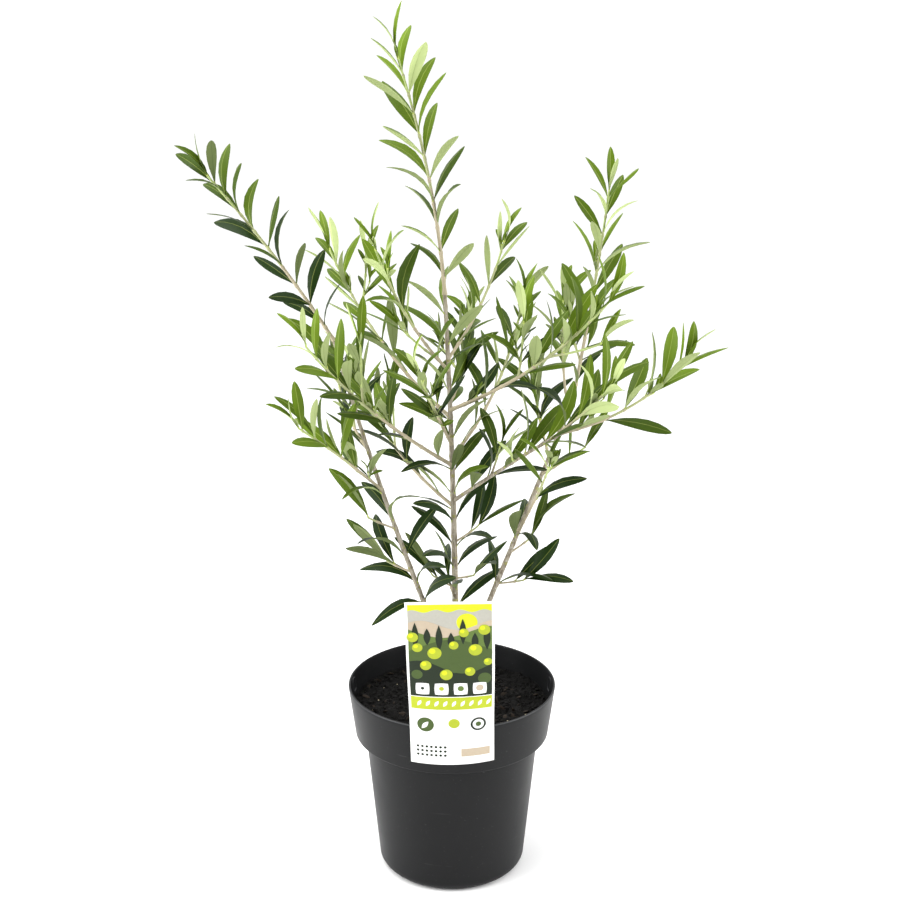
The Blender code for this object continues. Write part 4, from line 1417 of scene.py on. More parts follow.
def leaf_points(leaves, settings, rng):
    """All leaves at once: a section carried along each leaf's bowed middle line.

    The middle line is the root plus the heading times t, plus the face times bow 4 t (1 - t), and its
    tip falls as t squared. The heading first climbs by lift times the vertical: the more, the higher
    the leaf is in the crown and the more its stem lies over, and the lowest leaves sag instead. The
    blade turns part of the way to the light about it. Each section is six corners over the half-width,
    cupped by the square of their place across, and it twists about the heading as t grows.
    """
    count = len(leaves)
    base = np.array([leaf.base for leaf in leaves])
    heading = np.array([leaf.heading for leaf in leaves])
    face = np.array([leaf.face for leaf in leaves])
    length = np.array([leaf.length for leaf in leaves])[:, None]
    high = smooth(base[:, 2:], *LIFT_BAND)
    lying = 1 - np.array([leaf.stem[2] for leaf in leaves])[:, None] ** 2
    taken = np.array([TOP_LIFT.get(leaf.spray, 1.0) for leaf in leaves])[:, None]
    lift = settings.lift * rng.uniform(*LIFT_RANGE, (count, 1)) * high * lying * taken
    lift = lift - LOW_LEAF_SAG * (1 - high)
    heading = unit(heading + lift * UP)
    face = unit(face - heading * (face * heading).sum(axis=1, keepdims=True))
    small = 1 - smooth(length, *SMALL_LEAF)
    share = np.append(LEAF_ROWS, 1.0)[None, :]
    bow = rng.uniform(settings.least_bow, settings.most_bow, (count, 1))
    sway = rng.uniform(-MOST_SWAY, MOST_SWAY, (count, 1))
    low = 1 - smooth(base[:, 2:], *DROOP_BAND)
    droop = rng.uniform(*DROOP_RANGE, (count, 1)) * settings.droop * low
    droop = droop + rng.uniform(0.0, DROOP_ANYWHERE, (count, 1)) * settings.droop
    cup = rng.uniform(*CUP_RANGE, (count, 1))
    cup = np.where(rng.uniform(0.0, 1.0, (count, 1)) < CUPPED_DOWN, -cup, cup)
    across = np.cross(heading, face)
    light = np.array([TOP_LIGHT.get(leaf.spray, LIGHT) for leaf in leaves])
    lit_across = (across * light).sum(axis=1, keepdims=True)
    lit_face = (face * light).sum(axis=1, keepdims=True)
    to_light = -np.arctan2(lit_across, lit_face) * np.hypot(lit_across, lit_face) * settings.turn_to_light
    roll = np.clip(to_light + rng.normal(0.0, FREE_ROLL, (count, 1)), -MOST_ROLL, MOST_ROLL)
    twist = np.clip(rng.normal(0.0, FREE_TWIST, (count, 1)), -MOST_TWIST, MOST_TWIST)
    width = length * settings.width * rng.uniform(*WIDTH_RANGE, (count, 1)) * (1 + SMALL_LEAF_WIDER * small)
    down = heading * heading[:, 2:] - UP
    arch = length * bow * 4 * share * (1 - share)
    drift = length * sway * share * share
    fall = length * droop * share * share
    middle = base[:, None] + heading[:, None] * (length * share)[..., None]
    middle = middle + face[:, None] * arch[..., None] + across[:, None] * drift[..., None]
    middle = middle + down[:, None] * fall[..., None]
    tips = middle[:, -1]
    middle = middle[:, :-1]
    share = share[:, :-1]
    angle = (roll * smooth(share, *ROLL_BAND) + twist * share)[..., None]
    side = across[:, None] * np.cos(angle) + face[:, None] * np.sin(angle)
    top = face[:, None] * np.cos(angle) - across[:, None] * np.sin(angle)
    blade = blade_half_width(share, width)
    stalk = settings.stalk * (1 - smooth(share, *STALK_BAND))
    half = np.maximum(blade, stalk)
    rib = np.minimum(settings.rib * (1 - RIB_TAPER * share), RIB_MOST * half)
    thick = np.maximum(settings.thickness / 2 * (1 - THICKNESS_TAPER * share), stalk)
    place = half[..., None] * RING_ACROSS + rib[..., None] * RING_RIB
    level = thick[..., None] * RING_HEIGHT + (cup * blade)[..., None] * RING_ACROSS**2
    points = middle[:, :, None] + side[:, :, None] * place[..., None] + top[:, :, None] * level[..., None]
    return points, tips


def leaf_faces(count):
    """Quads along each leaf, a fan at its tip and a polygon at its root, with the slot of each."""
    rows = len(LEAF_ROWS)
    size = rows * RING_SIDES + 1
    quads = wrapped_quads(rows, RING_SIDES)
    below = np.tile(RING_SLOTS % 2 == 1, rows - 1)
    quads[below] = np.roll(quads[below], -1, axis=1)  # so both sides of a twisted blade split alike
    step = np.arange(RING_SIDES)
    last = (rows - 1) * RING_SIDES
    after = (step + 1) % RING_SIDES
    fan = np.stack([last + step, last + after, np.full(RING_SIDES, rows * RING_SIDES)], -1)
    root = step[None, ::-1]
    quad_slots = np.tile(RING_SLOTS, rows - 1)
    quad_slots[:RING_SIDES] = STALK
    shift = size * np.arange(count)[:, None, None]
    faces = tuple((block + shift).reshape(-1, block.shape[1]) for block in (quads, fan, root))
    slots = (np.tile(quad_slots, count), np.tile(RING_SLOTS, count), np.full(count, STALK))
    return faces, slots


def leaf_tint(leaf, rng):
    """Which of the tints a leaf takes: fresher higher in the crown and towards its shoot's tip."""
    height = min(max((leaf.base[2] - TINT_FOOT) / (TINT_TOP - TINT_FOOT), 0.0), 1.0)
    fresh = TINT_BY_HEIGHT * height + TINT_BY_SPRAY.get(leaf.spray, 0.0)
    change = TINT_ALONG * (leaf.share - TINT_LEVEL_AT) + spread(rng, TINT_SPREAD)
    fresh += change * (LOW_TINT_CHANGE + (1 - LOW_TINT_CHANGE) * min(height / LOW_TINT_HEIGHT, 1.0))
    return int(min(max(fresh, 0.0), MOST_TINT) * TINTS)


# ---------------------------------------------------------------- twigs and bark


COLLAR = 0.35  # how much thicker a stem is at its foot
COLLAR_LENGTH = 0.004
PAIR_RING = 0.0016
TIP_ROUND = 0.0006
TIP_END = 1.0005  # share of the length at which the rounded tip would close
LEAST_RADIUS = 0.00012
YOUNGER_ALONG = 0.9  # from a stem's foot to its tip
YOUNGER_THIN = 0.25
THIN_STEM = 0.0016
THIN_BAND = 0.0008
OLDER_LOW = 0.4
OLDER_BAND = (0.28, 0.46)  # heights in the crown
YOUTH_SLOTS = 2.2
BARK_TURNS = 6  # most waves round a limb
BARK_WAVES = 3  # for each number of turns
BARK_PITCH = (60.0, 900.0)
BARK_HEIGHT = (0.4, 1.0)
SCAR_LENGTH = 0.0022
SCAR_ALL_ROUND = 0.35
SCAR_SHOWS = 0.6
BOUGH_COLLAR = 0.3
BOUGH_COLLAR_LENGTH = 0.006
TRUNK_SINK = 0.004
BARK_SEED = 8


def bump(distance, width):
    """Fades both ways from its middle as exp(-(d / w)^2)."""
    return np.exp(-((distance / width) ** 2))


def twig_tube(parts, stem, settings):
    """A stem as a tapering tube, with a collar at its foot and a low ring at each pair of leaves.

    Its finish goes from woody to green along it: sooner where it is thin, and later low in the crown.
    """
    limb = stem.limb
    rows = max(4, round(limb.length / settings.spacing))
    share = np.linspace(0.0, 1.0, rows + 1)
    radius = limb_radius(limb, share) * (1 + COLLAR * bump(share * limb.length, COLLAR_LENGTH))
    for pair in stem.pairs:
        radius = radius + settings.swelling * bump((share - pair) * limb.length, PAIR_RING)
    radius = radius * np.sqrt(np.clip((TIP_END - share) * limb.length / TIP_ROUND, 0.0, 1.0))
    radius = np.maximum(radius, LEAST_RADIUS)
    quads, ends = tube_faces(rows + 1, settings.sides)
    path = point_at(stem.curve, share)
    young = stem.young + share * YOUNGER_ALONG + YOUNGER_THIN * smooth(THIN_STEM - radius, 0.0, THIN_BAND)
    young = young[:-1] - OLDER_LOW * (1 - smooth(path[:-1, 2], *OLDER_BAND))
    slots = np.clip(young * YOUTH_SLOTS, 0, 2).astype(int)
    points = tube_points(path, radius, settings.sides)
    parts.add(points, (quads, ends), (np.repeat(slots, settings.sides), slots[[0, -1]]))


def bark_radius(limb, distance, angle, settings, rng):
    """A limb's radius round and along it: its taper, waves that close round it, and scars of old leaves.

    The waves are sines of a whole number of turns round the limb plus a frequency along it. A scar is a
    bump that fades as exp(-d^2) both ways, two opposite each other at each pair, crossed with the next.
    It also gives how far each corner lies on a scar, from 0 to 1.
    """
    radius = limb_radius(limb, distance / limb.length)[:, None] * np.ones_like(angle)
    for turns in range(1, BARK_TURNS + 1):
        for _ in range(BARK_WAVES):
            pitch = rng.uniform(*BARK_PITCH)
            phase = rng.uniform(0.0, math.tau)
            height = settings.relief * rng.uniform(*BARK_HEIGHT) / math.sqrt(turns)
            radius = radius + height * np.sin(turns * angle + pitch * distance[:, None] + phase)
    turn = rng.uniform(0.0, math.tau)
    scar = np.zeros_like(radius)
    for count, share in enumerate(node_shares(limb.length, FIRST_PAIR)):
        along = bump(distance - share * limb.length, SCAR_LENGTH)[:, None]
        around = np.cos(2 * (angle - turn - count * math.pi / 2)) * 0.5 + 0.5
        raised = SCAR_ALL_ROUND + (1 - SCAR_ALL_ROUND) * around**2
        radius = radius + settings.scar_height * along * raised
        scar = np.maximum(scar, along * around)
    return radius, scar


def bark_tube(parts, limb, curve, settings, rng):
    """A limb's surface: rings round its middle line, pushed out by the bark's relief.

    The trunk's foot is sunk into the mix, and a bough's has a collar.
    """
    distance = np.linspace(0.0, limb.length, round(limb.length / settings.spacing) + 1)
    angle = np.broadcast_to(circle(settings.sides), (len(distance), settings.sides))
    radius, scar = bark_radius(limb, distance, angle, settings, rng)
    path = point_at(curve, distance / limb.length)
    if limb.parent:
        radius = radius * (1 + BOUGH_COLLAR * bump(distance, BOUGH_COLLAR_LENGTH))[:, None]
    else:
        path = np.vstack([path[0] - unit(path[1] - path[0]) * TRUNK_SINK, path])
        radius = np.vstack([radius[0], radius])
        scar = np.vstack([scar[0], scar])
    points = tube_points(path, radius, settings.sides)
    slots = (scar[:-1] > SCAR_SHOWS).astype(int).ravel()
    parts.add(points, tube_faces(len(path), settings.sides), (slots, 0))


# ---------------------------------------------------------------- settings


def length_setting(name, description, default):
    return bpy.props.FloatProperty(
        name=name, description=description, default=default, unit="LENGTH", precision=5, min=0.0
    )


def colour_setting(name, description, default):
    return bpy.props.FloatVectorProperty(
        name=name, description=description, default=default, subtype="COLOR", size=3, min=0.0, max=1.0
    )


def share_setting(name, description, default):
    return bpy.props.FloatProperty(
        name=name, description=description, default=default, subtype="FACTOR", min=0.0, max=1.0, precision=3
    )


def count_setting(name, description, default, least=0):
    return bpy.props.IntProperty(name=name, description=description, default=default, min=least)


def strength_setting(name, description, default):
    return bpy.props.FloatProperty(name=name, description=description, default=default, min=0.0)


def power_setting(name, description, default):
    return bpy.props.FloatProperty(name=name, description=description, default=default, unit="POWER", min=0.0)


class PotSettings(bpy.types.PropertyGroup):
    """Sizes and colour of the pot."""

    colour: colour_setting("Plastic", "Colour of the pot's plastic", (0.0058, 0.0060, 0.0064))
    # The rim's edge and the hanger frames are painted lighter than the plastic: a painted highlight along the
    # rim and painted glints on the frames.
    rim_highlight_colour: colour_setting("Rim", "Colour of the rim's edge and frames", (0.013, 0.014, 0.0155))
    segments: count_setting("Segments", "Faces round the pot", 192, 24)
    frame_width: length_setting("Frame width", "Width of a hanger's frame in the rim", 0.010)
    frame_height: length_setting("Frame height", "Height of a hanger's frame in the rim", 0.0125)
    frame_bead: length_setting("Frame bead", "Half the thickness of that frame's edge", 0.0007)


class SoilSettings(bpy.types.PropertyGroup):
    """Colours and crumbs of the potting mix."""

    colour: colour_setting("Mix", "Colour of the darkest mix", (0.0015, 0.0013, 0.0011))
    perlite: colour_setting("Perlite", "Colour of the pale grains", (0.46, 0.40, 0.28))
    chip: colour_setting("Bark chip", "Colour of the bark chips", (0.022, 0.014, 0.008))
    crumbs: count_setting("Crumbs", "How many dark crumbs lie on it", 1500)
    chips: count_setting("Chips", "How many bark chips lie on it", 70)
    grains: count_setting("Grains", "How many pale grains lie on it", 46)


class LabelSettings(bpy.types.PropertyGroup):
    """Colours of the label's card and print."""

    card: colour_setting("Card", "Colour of the bare card", (0.86, 0.86, 0.84))
    lime: colour_setting("Lime", "Colour of the bright bands", (0.58, 0.64, 0.012))
    sky: colour_setting("Sky", "Colour behind the hills", (0.40, 0.39, 0.34))
    far: colour_setting("Far hill", "Colour of the furthest hill", (0.10, 0.16, 0.032))
    near: colour_setting("Near hill", "Colour of the nearest hill", (0.007, 0.016, 0.004))
    tan: colour_setting("Panel", "Colour of the small panel", (0.46, 0.38, 0.28))
    border: length_setting("Border", "Width of the bare card round the print", 0.0023)


class BarkSettings(bpy.types.PropertyGroup):
    """Relief and colours of the trunk and boughs."""

    pale: colour_setting("Pale wood", "Colour of the bark's ridges", (0.40, 0.36, 0.29))
    dark: colour_setting("Dark wood", "Colour of the bark's furrows", (0.19, 0.16, 0.115))
    scar: colour_setting("Old wood", "Colour of the patches low on the trunk", (0.095, 0.066, 0.030))
    leaf_scar: colour_setting("Leaf scar", "Colour of the scars of old leaves", (0.34, 0.32, 0.13))
    lichen: colour_setting("Lichen", "Colour of the pale spots", (0.50, 0.50, 0.44))
    relief: length_setting("Relief", "Height of one wave in the bark", 0.000035)
    scar_height: length_setting("Scar height", "Height of the scar of an old leaf", 0.00035)
    spacing: length_setting("Ring spacing", "Distance between rings along a limb", 0.0011)
    sides: count_setting("Sides", "Faces round a limb", 24, 8)


class TwigSettings(bpy.types.PropertyGroup):
    """Shape and colours of the leafy stems."""

    woody: colour_setting("Woody", "Colour of a shoot's older foot", (0.39, 0.34, 0.235))
    half: colour_setting("Half ripe", "Colour of a shoot's middle", (0.36, 0.38, 0.19))
    green: colour_setting("Green", "Colour of a shoot's young tip", (0.38, 0.46, 0.17))
    swelling: length_setting("Swelling", "How far the stem swells at a pair of leaves", 0.00045)
    spacing: length_setting("Ring spacing", "Distance between rings along a stem", 0.0016)
    sides: count_setting("Sides", "Faces round a stem", 8, 3)


class LeafSettings(bpy.types.PropertyGroup):
    """Shape and colours of the leaves."""

    upper_old: colour_setting("Old upper side", "The oldest leaves' upper sides", (0.0105, 0.0272, 0.0028))
    upper_young: colour_setting("Young upper side", "The freshest leaves' upper sides", (0.122, 0.196, 0.011))
    under_old: colour_setting("Old underside", "The oldest leaves' undersides", (0.116, 0.150, 0.054))
    under_young: colour_setting("Young underside", "The freshest leaves' undersides", (0.46, 0.545, 0.24))
    stalk_old: colour_setting("Old stalk", "The oldest leaves' stalks", (0.30, 0.34, 0.07))
    stalk_young: colour_setting("Young stalk", "The freshest leaves' stalks", (0.50, 0.58, 0.15))
    width: share_setting("Width", "A leaf's width over its length", 0.192)
    thickness: length_setting("Thickness", "A leaf's thickness at its rib", 0.0005)
    stalk: length_setting("Stalk", "Half the thickness of a leaf's stalk", 0.00068)
    rib: length_setting("Rib", "Half the width of a leaf's rib", 0.0004)
    least_bow: share_setting("Least bow", "How far the straightest leaf bows, over its length", 0.03)
    most_bow: share_setting("Most bow", "How far the most arched leaf bows, over its length", 0.15)
    turn_to_light: share_setting("Turn to light", "How far a leaf rolls round to face the light", 0.6)
    lift: share_setting("Lift", "How far a leaf high in the crown stands up towards the light", 0.82)
    droop: share_setting("Droop", "How far the tip of a low leaf falls, over its length", 0.27)


class StageSettings(bpy.types.PropertyGroup):
    """Floor, lights and camera."""

    floor: colour_setting("Floor", "Colour of the floor", (0.98, 0.98, 0.98))
    sky: colour_setting("Surroundings", "Colour of the even light all round", (1.0, 1.0, 1.0))
    near_strength: strength_setting("Near", "Soft light from above the floor on the label's side", 0.12)
    far_strength: strength_setting("Far", "Soft light from everywhere else", 1.35)
    left_power: power_setting("Left", "Left light's power", 30.0)
    right_power: power_setting("Right", "Right light's power", 24.0)
    top_power: power_setting("Top", "Top light's power", 20.0)


# ---------------------------------------------------------------- operators


class OLIVE_OT_pot(bpy.types.Operator):
    """Make the nursery pot, turned from one profile, with its two hanger frames."""

    bl_idname = "olive.pot"
    bl_label = "Pot"

    def execute(self, context):
        settings = context.scene.olive_pot
        plastic = pot_finish("pot_plastic", settings.colour)
        # A lighter finish for the rim's edge and the hanger frames: a painted highlight along the rim and
        # painted glints on the frames.
        wear_and_rim_highlight = pot_finish("pot_rim", settings.rim_highlight_colour)
        parts = Parts()
        profile = pot_profile()
        radius, height = profile[1:-2].T
        # The faces of the rim's top edge, which take the painted highlight.
        rim_highlight_faces = (height > POT_HEIGHT - POT_WALL / 2) & (radius > RIM_RADIUS - POT_WALL / 2)
        lathe(parts, profile, settings.segments, rim_highlight_faces.astype(int))
        place_piece(parts.piece("nursery_pot", [plastic, wear_and_rim_highlight], sharp=30.0), "pot_plastic", "pot")
        frames = Parts()
        sizes = (settings.frame_width, settings.frame_height, settings.frame_bead)
        for azimuth in FRAME_AZIMUTHS:
            frames.add(*hanger_frame(azimuth, POT_HEIGHT - FRAME_DROP, *sizes))
        place_piece(frames.piece("hanger_frames", [wear_and_rim_highlight]), "pot_plastic")
        return {"FINISHED"}


class OLIVE_OT_soil(bpy.types.Operator):
    """Make the potting mix and the crumbs, chips and grains that lie on it."""

    bl_idname = "olive.soil"
    bl_label = "Potting mix"

    def execute(self, context):
        settings = context.scene.olive_soil
        mix = Parts()
        mix.add(*soil_points())
        surface = mix.piece("mix_surface", [mix_finish(settings.colour)], sharp=80.0)
        place_piece(surface, "potting_mix", "potting_mix")
        rng = np.random.default_rng(LITTER_SEED)
        crumbs = Parts()
        crumbs.add(*scattered_lumps(settings.crumbs, CRUMB, rng), 0)
        crumbs.add(*scattered_lumps(settings.chips, CHIP, rng), 1)
        crumbs.add(*scattered_lumps(settings.grains, GRAIN, rng), 2)
        finishes = [
            crumb_finish("mix_crumb", shaded(settings.colour, MIX_PALE_TONE)),
            crumb_finish("bark_chip", settings.chip),
            crumb_finish("perlite", settings.perlite),
        ]
        place_piece(crumbs.piece("mix_crumbs", finishes, sharp=40.0), "potting_mix")
        return {"FINISHED"}


class OLIVE_OT_label(bpy.types.Operator):
    """Make the plant label: the bent card, its tongue over the rim and its printed field of hills."""

    bl_idname = "olive.label"
    bl_label = "Plant label"

    def execute(self, context):
        settings = context.scene.olive_label
        card = Parts()
        half = LABEL_WIDTH / 2
        card_sheet(card, box_outline(-half, half, -LABEL_DROP, LABEL_RISE), 0.0, CARD, *LABEL_GRID, 0)
        self.add_tongue(card)
        place_piece(card.piece("label_card", [card_finish("card", settings.card)]), "label_card", "label")
        self.add_print(settings)
        return {"FINISHED"}

    def add_tongue(self, card):
        """The tongue is a strip carried over the rim, from the card's back down to the mix."""
        over = POT_HEIGHT + GAP + CARD / 2
        inner = RIM_RADIUS - POT_WALL - GAP - CARD / 2
        foot = SOIL_TOP - TONGUE_SUNK
        turn = arc((inner + TONGUE_BEND, over - TONGUE_BEND), TONGUE_BEND, 90, 180, steps=5)
        start = (RIM_RADIUS + GAP + CARD / 2, over)
        end = (lip_radius(foot) - POT_WALL - GAP - CARD / 2, foot)
        path = np.concatenate([[start], turn, [end]])
        heading = unit(np.gradient(path, axis=0))
        normal = np.stack([heading[:, 1], -heading[:, 0]], -1) * CARD / 2
        angle = np.linspace(-0.5, 0.5, TONGUE_COLUMNS) * TONGUE_WIDTH / RIM_RADIUS

        def layer(line_points):
            x = line_points[:, :1] * np.sin(angle)
            y = -line_points[:, :1] * np.cos(angle)
            return np.stack([x, y, np.broadcast_to(line_points[:, 1:], x.shape)], -1)

        ring = np.concatenate([layer(path + normal), layer(path - normal)[:, ::-1]], axis=1)
        card.add(ring.reshape(-1, 3), sheet_faces(len(path), len(angle)))

    def add_print(self, settings):
        """A field of hills with bushes under a low sun, a row of tiles, a strip and small marks below."""
        inks = {
            "sky": settings.sky,
            "lime": settings.lime,
            "far": settings.far,
            "middle": mixed(settings.far, settings.near, MIDDLE_SHARE),
            "near": settings.near,
            "white": settings.card,
            "tan": settings.tan,
            "bush": mixed(settings.lime, settings.far, BUSH_SHARE),
            "band": mixed(settings.lime, settings.far, BAND_SHARE),
        }
        finishes = [card_finish("print_" + name, colour) for name, colour in inks.items()]
        left = -LABEL_WIDTH / 2 + settings.border
        right = -left
        head = LABEL_RISE - settings.border
        ink = Parts()

        def lay(outline, layer, slot, rows=9, columns=9):
            """One shape of ink, a thin sheet higher than the layers under it."""
            card_sheet(ink, outline, CARD * INK_FOOT, CARD + INK_LAYER * layer, rows, columns, slot)

        lay(box_outline(left, right, FIELD_FOOT, head), 1, SKY, rows=30, columns=17)
        lay(wave_outline(left, right, head, *SKY_LINE), 2, LIME, rows=5, columns=41)
        lay(disc_outline(*SUN), 2, LIME, rows=13, columns=13)
        for layer, (hill, slot, rows) in enumerate(HILLS, 3):
            lay(wave_outline(left, right, FIELD_FOOT, *hill), layer, slot, rows, columns=25)
        for count in range(TREES):
            across = left + TREE_START + TREE_PITCH * count
            up = TREE_FOOT + TREE_FOOT_WAVE[0] * math.sin(TREE_FOOT_WAVE[1] * count)
            tall = TREE_HEIGHT + TREE_HEIGHT_WAVE[0] * math.cos(TREE_HEIGHT_WAVE[1] * count)
            lay(blade_outline(across, up, tall, TREE_WIDTH, 0.0), 7, NEAR)
        for across, up, radius in BUSHES:
            lay(disc_outline(across, up, radius), 8, BUSH)
            glint = (across - GLINT[0] * radius, up + GLINT[1] * radius, GLINT[2] * radius)
            lay(disc_outline(*glint), 9, LIME, rows=7, columns=7)
        for crown in CROWNS:
            lay(disc_outline(*crown), 7, MIDDLE)
        for count, spot in enumerate(TILE_INKS):
            across = TILE_START + TILE_PITCH * count
            lay(disc_outline(across, *TILE), 10, WHITE, rows=11, columns=11)
            lay(disc_outline(across, TILE_SPOT[0], TILE_SPOT[1] + TILE_SPOT[2] * count), 11, spot)
        lay(box_outline(left, right, *STRIP), 1, BAND, rows=5, columns=17)
        for count in range(STROKES):
            lay(blade_outline(left + STROKE_START + STROKE_PITCH * count, *STROKE), 2, WHITE)
        for disc, layer, slot in MARKS:
            lay(disc_outline(*disc), layer, slot)
        lay(blade_outline(*MARK_BLADE), 2, WHITE)
        lay(box_outline(PANEL[0], right - PANEL[1], *PANEL[2:]), 1, TAN, rows=5, columns=9)
        for row in range(DOTS[1]):
            for column in range(DOTS[0]):
                across = left + DOT_START[0] + DOT_PITCH[0] * column
                up = DOT_START[1] + DOT_PITCH[1] * row
                lay(disc_outline(across, up, DOT_RADIUS), 1, NEAR, rows=5, columns=5)
        place_piece(ink.piece("label_print", finishes), "label_card")


class OLIVE_OT_limbs(bpy.types.Operator):
    """Make the trunk and boughs with the relief of their bark."""

    bl_idname = "olive.limbs"
    bl_label = "Trunk and boughs"

    def execute(self, context):
        settings = context.scene.olive_bark
        curves = grown_plant()[0]
        rng = np.random.default_rng(BARK_SEED)
        parts = Parts()
        for name, limb in LIMBS.items():
            bark_tube(parts, limb, curves[name], settings, rng)
        scar = crumb_finish("leaf_scar", settings.leaf_scar)
        place_piece(parts.piece("bark_limbs", [bark_finish(settings), scar], sharp=60.0), "bark", *LIMBS)
        return {"FINISHED"}


class OLIVE_OT_twigs(bpy.types.Operator):
    """Make every leafy stem of the crown, from the shoots down to the smallest sprouts."""

    bl_idname = "olive.twigs"
    bl_label = "Twigs"

    def execute(self, context):
        settings = context.scene.olive_twigs
        parts = Parts()
        for stem in grown_plant()[1]:
            twig_tube(parts, stem, settings)
        finishes = [
            leaf_finish("twig_woody", settings.woody),
            leaf_finish("twig_half_ripe", settings.half),
            leaf_finish("twig_green", settings.green),
        ]
        place_piece(parts.piece("leafy_twigs", finishes, sharp=60.0), "bark", *FOLIAGE)
        return {"FINISHED"}


class OLIVE_OT_leaves(bpy.types.Operator):
    """Make all the leaves, one piece for each tint from the darkest to the freshest."""

    bl_idname = "olive.leaves"
    bl_label = "Leaves"

    def execute(self, context):
        settings = context.scene.olive_leaves
        leaves = grown_plant()[2]
        dealer = random.Random("tints")
        tints = [leaf_tint(leaf, dealer) for leaf in leaves]
        for tint in range(TINTS):
            chosen = [leaf for leaf, own in zip(leaves, tints) if own == tint]
            points, tips = leaf_points(chosen, settings, np.random.default_rng(TINT_SEED + tint))
            count = len(chosen)
            joined = np.concatenate([points.reshape(count, -1, 3), tips[:, None]], axis=1).reshape(-1, 3)
            parts = Parts()
            parts.add(joined, *leaf_faces(count))
            item = parts.piece(f"leaves_{tint + 1}", self.finishes(settings, tint), sharp=45.0)
            place_piece(item, "leafage", *FOLIAGE)
        return {"FINISHED"}

    def finishes(self, settings, tint):
        """The five finishes of a tint, in the order of the slots."""
        share = tint / (TINTS - 1)
        name = f"leaf_{tint + 1}_"
        upper = mixed(settings.upper_old, settings.upper_young, share)
        under = mixed(settings.under_old, settings.under_young, share)
        stalk = mixed(settings.stalk_old, settings.stalk_young, share)
        colours = {
            "upper": upper,
            "under": under,
            "rib": mixed(upper, stalk, RIB_TONE),
            "under_rib": mixed(under, upper, UNDER_RIB_TONE),
            "stalk": stalk,
        }
        return [leaf_finish(name + kind, colour, kind) for kind, colour in colours.items()]


NEAR_SIDE = (-0.85, 0.0)  # a direction's Y: wholly on the label's side, and no longer on it
NEAR_HEIGHT = (0.14, 0.26)  # a direction's Z: still along the floor, and wholly above it
LIGHTS = {  # place and size
    "left": ((-1.5, -0.55, 0.95), 1.3),
    "right": ((1.5, -0.45, 0.85), 1.3),
    "top": ((-0.3, -0.3, 2.1), 1.0),
}
LIGHT_AIM = 0.40
FLOOR_RINGS = (0.15, 0.6, 2.4, 20.0, 400.0)
FLOOR_SIDES = 96
CAMERA_PLACE = (-0.0018, -1.328, 0.816)
CAMERA_DIP = 16.55
CAMERA_LENS = 60.0
CAMERA_SENSOR = 36.0


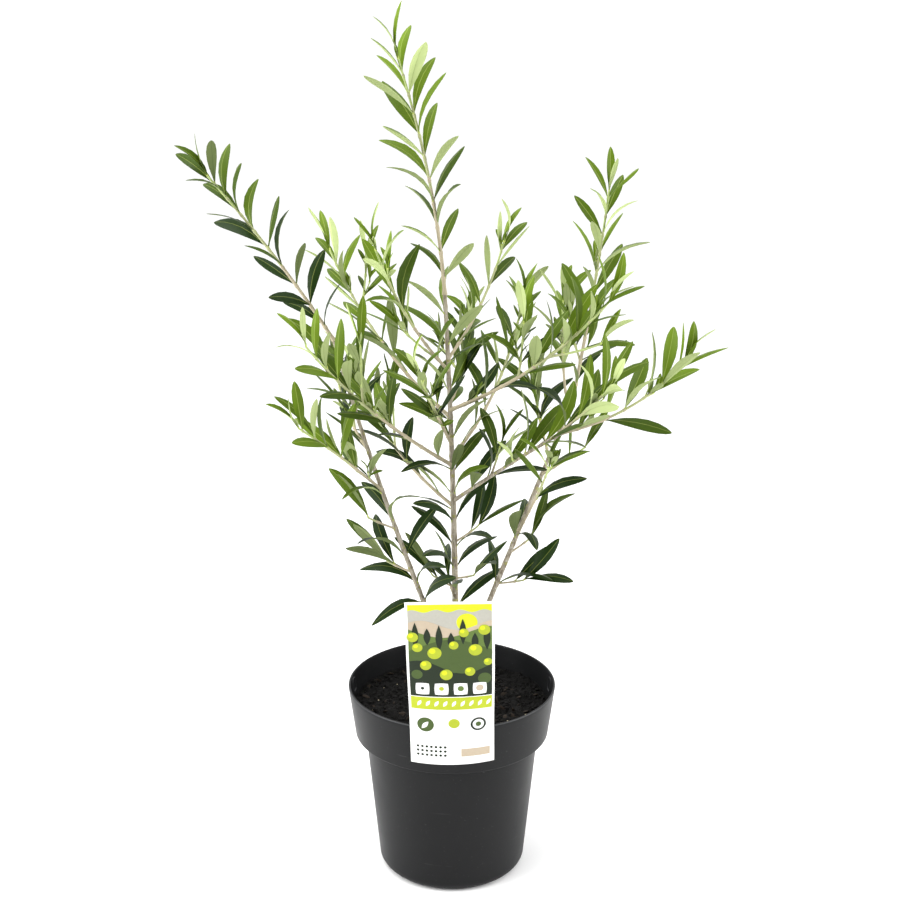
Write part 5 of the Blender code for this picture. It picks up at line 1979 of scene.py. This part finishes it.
class OLIVE_OT_stage(bpy.types.Operator):
    """Make the floor, the soft lights and the camera."""

    bl_idname = "olive.stage"
    bl_label = "Stage"

    def execute(self, context):
        settings = context.scene.olive_stage
        self.add_floor(settings)
        self.add_world(settings)
        for name, (place, size) in LIGHTS.items():
            self.add_light(name + "_light", place, size, getattr(settings, name + "_power"))
        self.add_camera()
        context.scene.view_settings.view_transform = "Standard"
        return {"FINISHED"}

    def add_floor(self, settings):
        """A wide disc in rings, flat at height zero, with its corners on circles about Z."""
        dim = shaded(settings.floor, FLOOR_DEEP_TONE)
        finish = two_tone("floor", settings.floor, FLOOR_CLOUDS, settings.floor, dim)[0]
        rings = len(FLOOR_RINGS)
        points = turned_points(np.array(FLOOR_RINGS), np.zeros(rings), circle(FLOOR_SIDES))
        parts = Parts()
        parts.add(points, (wrapped_quads(rings, FLOOR_SIDES)[:, ::-1], np.arange(FLOOR_SIDES)[None]))
        floor = parts.piece("floor", [finish])

    def add_world(self, settings):
        """Even light all round, but weak from above the floor on the label's side."""
        world = bpy.data.worlds.new("even_light")
        world.use_nodes = True
        background = world.node_tree.nodes["Background"]
        background.inputs["Color"].default_value = (*settings.sky, 1.0)
        place = add_node(world, "TexCoord", {}).outputs["Generated"]
        part = add_node(world, "SeparateXYZ", {"Vector": place}).outputs
        side = ramp(world, part["Y"], *NEAR_SIDE, 1.0, 0.0)
        share = product(world, side, ramp(world, part["Z"], *NEAR_HEIGHT))
        strength = ramp(world, share, 0.0, 1.0, settings.far_strength, settings.near_strength)
        link(world, strength, background, "Strength")
        bpy.context.scene.world = world

    def add_light(self, name, place, size, power):
        light = bpy.data.lights.new(name, "AREA")
        light.shape = "SQUARE"
        light.size = size
        light.energy = power
        item = bpy.data.objects.new(name, light)
        item.location = place
        aim = bpy.data.objects["body:root"].location.copy()
        aim.z = LIGHT_AIM
        item.rotation_euler = (aim - item.location).to_track_quat("-Z", "Y").to_euler()
        bpy.context.scene.collection.objects.link(item)

    def add_camera(self):
        camera = bpy.data.cameras.new("camera")
        camera.lens = CAMERA_LENS
        camera.sensor_width = CAMERA_SENSOR
        item = bpy.data.objects.new("camera", camera)
        item.location = CAMERA_PLACE
        item.rotation_euler = (math.radians(90.0 - CAMERA_DIP), 0.0, 0.0)
        bpy.context.scene.collection.objects.link(item)
        bpy.context.scene.camera = item


class OLIVE_PT_tree(bpy.types.Panel):
    """Lists the pieces of the potted olive tree with their settings."""

    bl_idname = "OLIVE_PT_tree"
    bl_label = "Potted Olive Tree"
    bl_space_type = "VIEW_3D"
    bl_region_type = "UI"
    bl_category = "Olive Tree"

    def draw(self, context):
        for operator, key, settings in STEPS:
            box = self.layout.box()
            box.operator(operator.bl_idname)
            for name in settings.__annotations__:
                box.prop(getattr(context.scene, key), name)


STEPS = (
    (OLIVE_OT_pot, "olive_pot", PotSettings),
    (OLIVE_OT_soil, "olive_soil", SoilSettings),
    (OLIVE_OT_label, "olive_label", LabelSettings),
    (OLIVE_OT_limbs, "olive_bark", BarkSettings),
    (OLIVE_OT_twigs, "olive_twigs", TwigSettings),
    (OLIVE_OT_leaves, "olive_leaves", LeafSettings),
    (OLIVE_OT_stage, "olive_stage", StageSettings),
)


def register():
    for operator, key, settings in STEPS:
        bpy.utils.register_class(settings)
        bpy.utils.register_class(operator)
        setattr(bpy.types.Scene, key, bpy.props.PointerProperty(type=settings))
    bpy.utils.register_class(OLIVE_PT_tree)


def unregister():
    bpy.utils.unregister_class(OLIVE_PT_tree)
    for operator, key, settings in reversed(STEPS):
        delattr(bpy.types.Scene, key)
        bpy.utils.unregister_class(operator)
        bpy.utils.unregister_class(settings)


def main():
    register()
    bpy.ops.olive.pot()
    bpy.ops.olive.soil()
    bpy.ops.olive.label()
    bpy.ops.olive.limbs()
    bpy.ops.olive.twigs()
    bpy.ops.olive.leaves()
    bpy.ops.olive.stage()


if __name__ == "__main__":
    main()
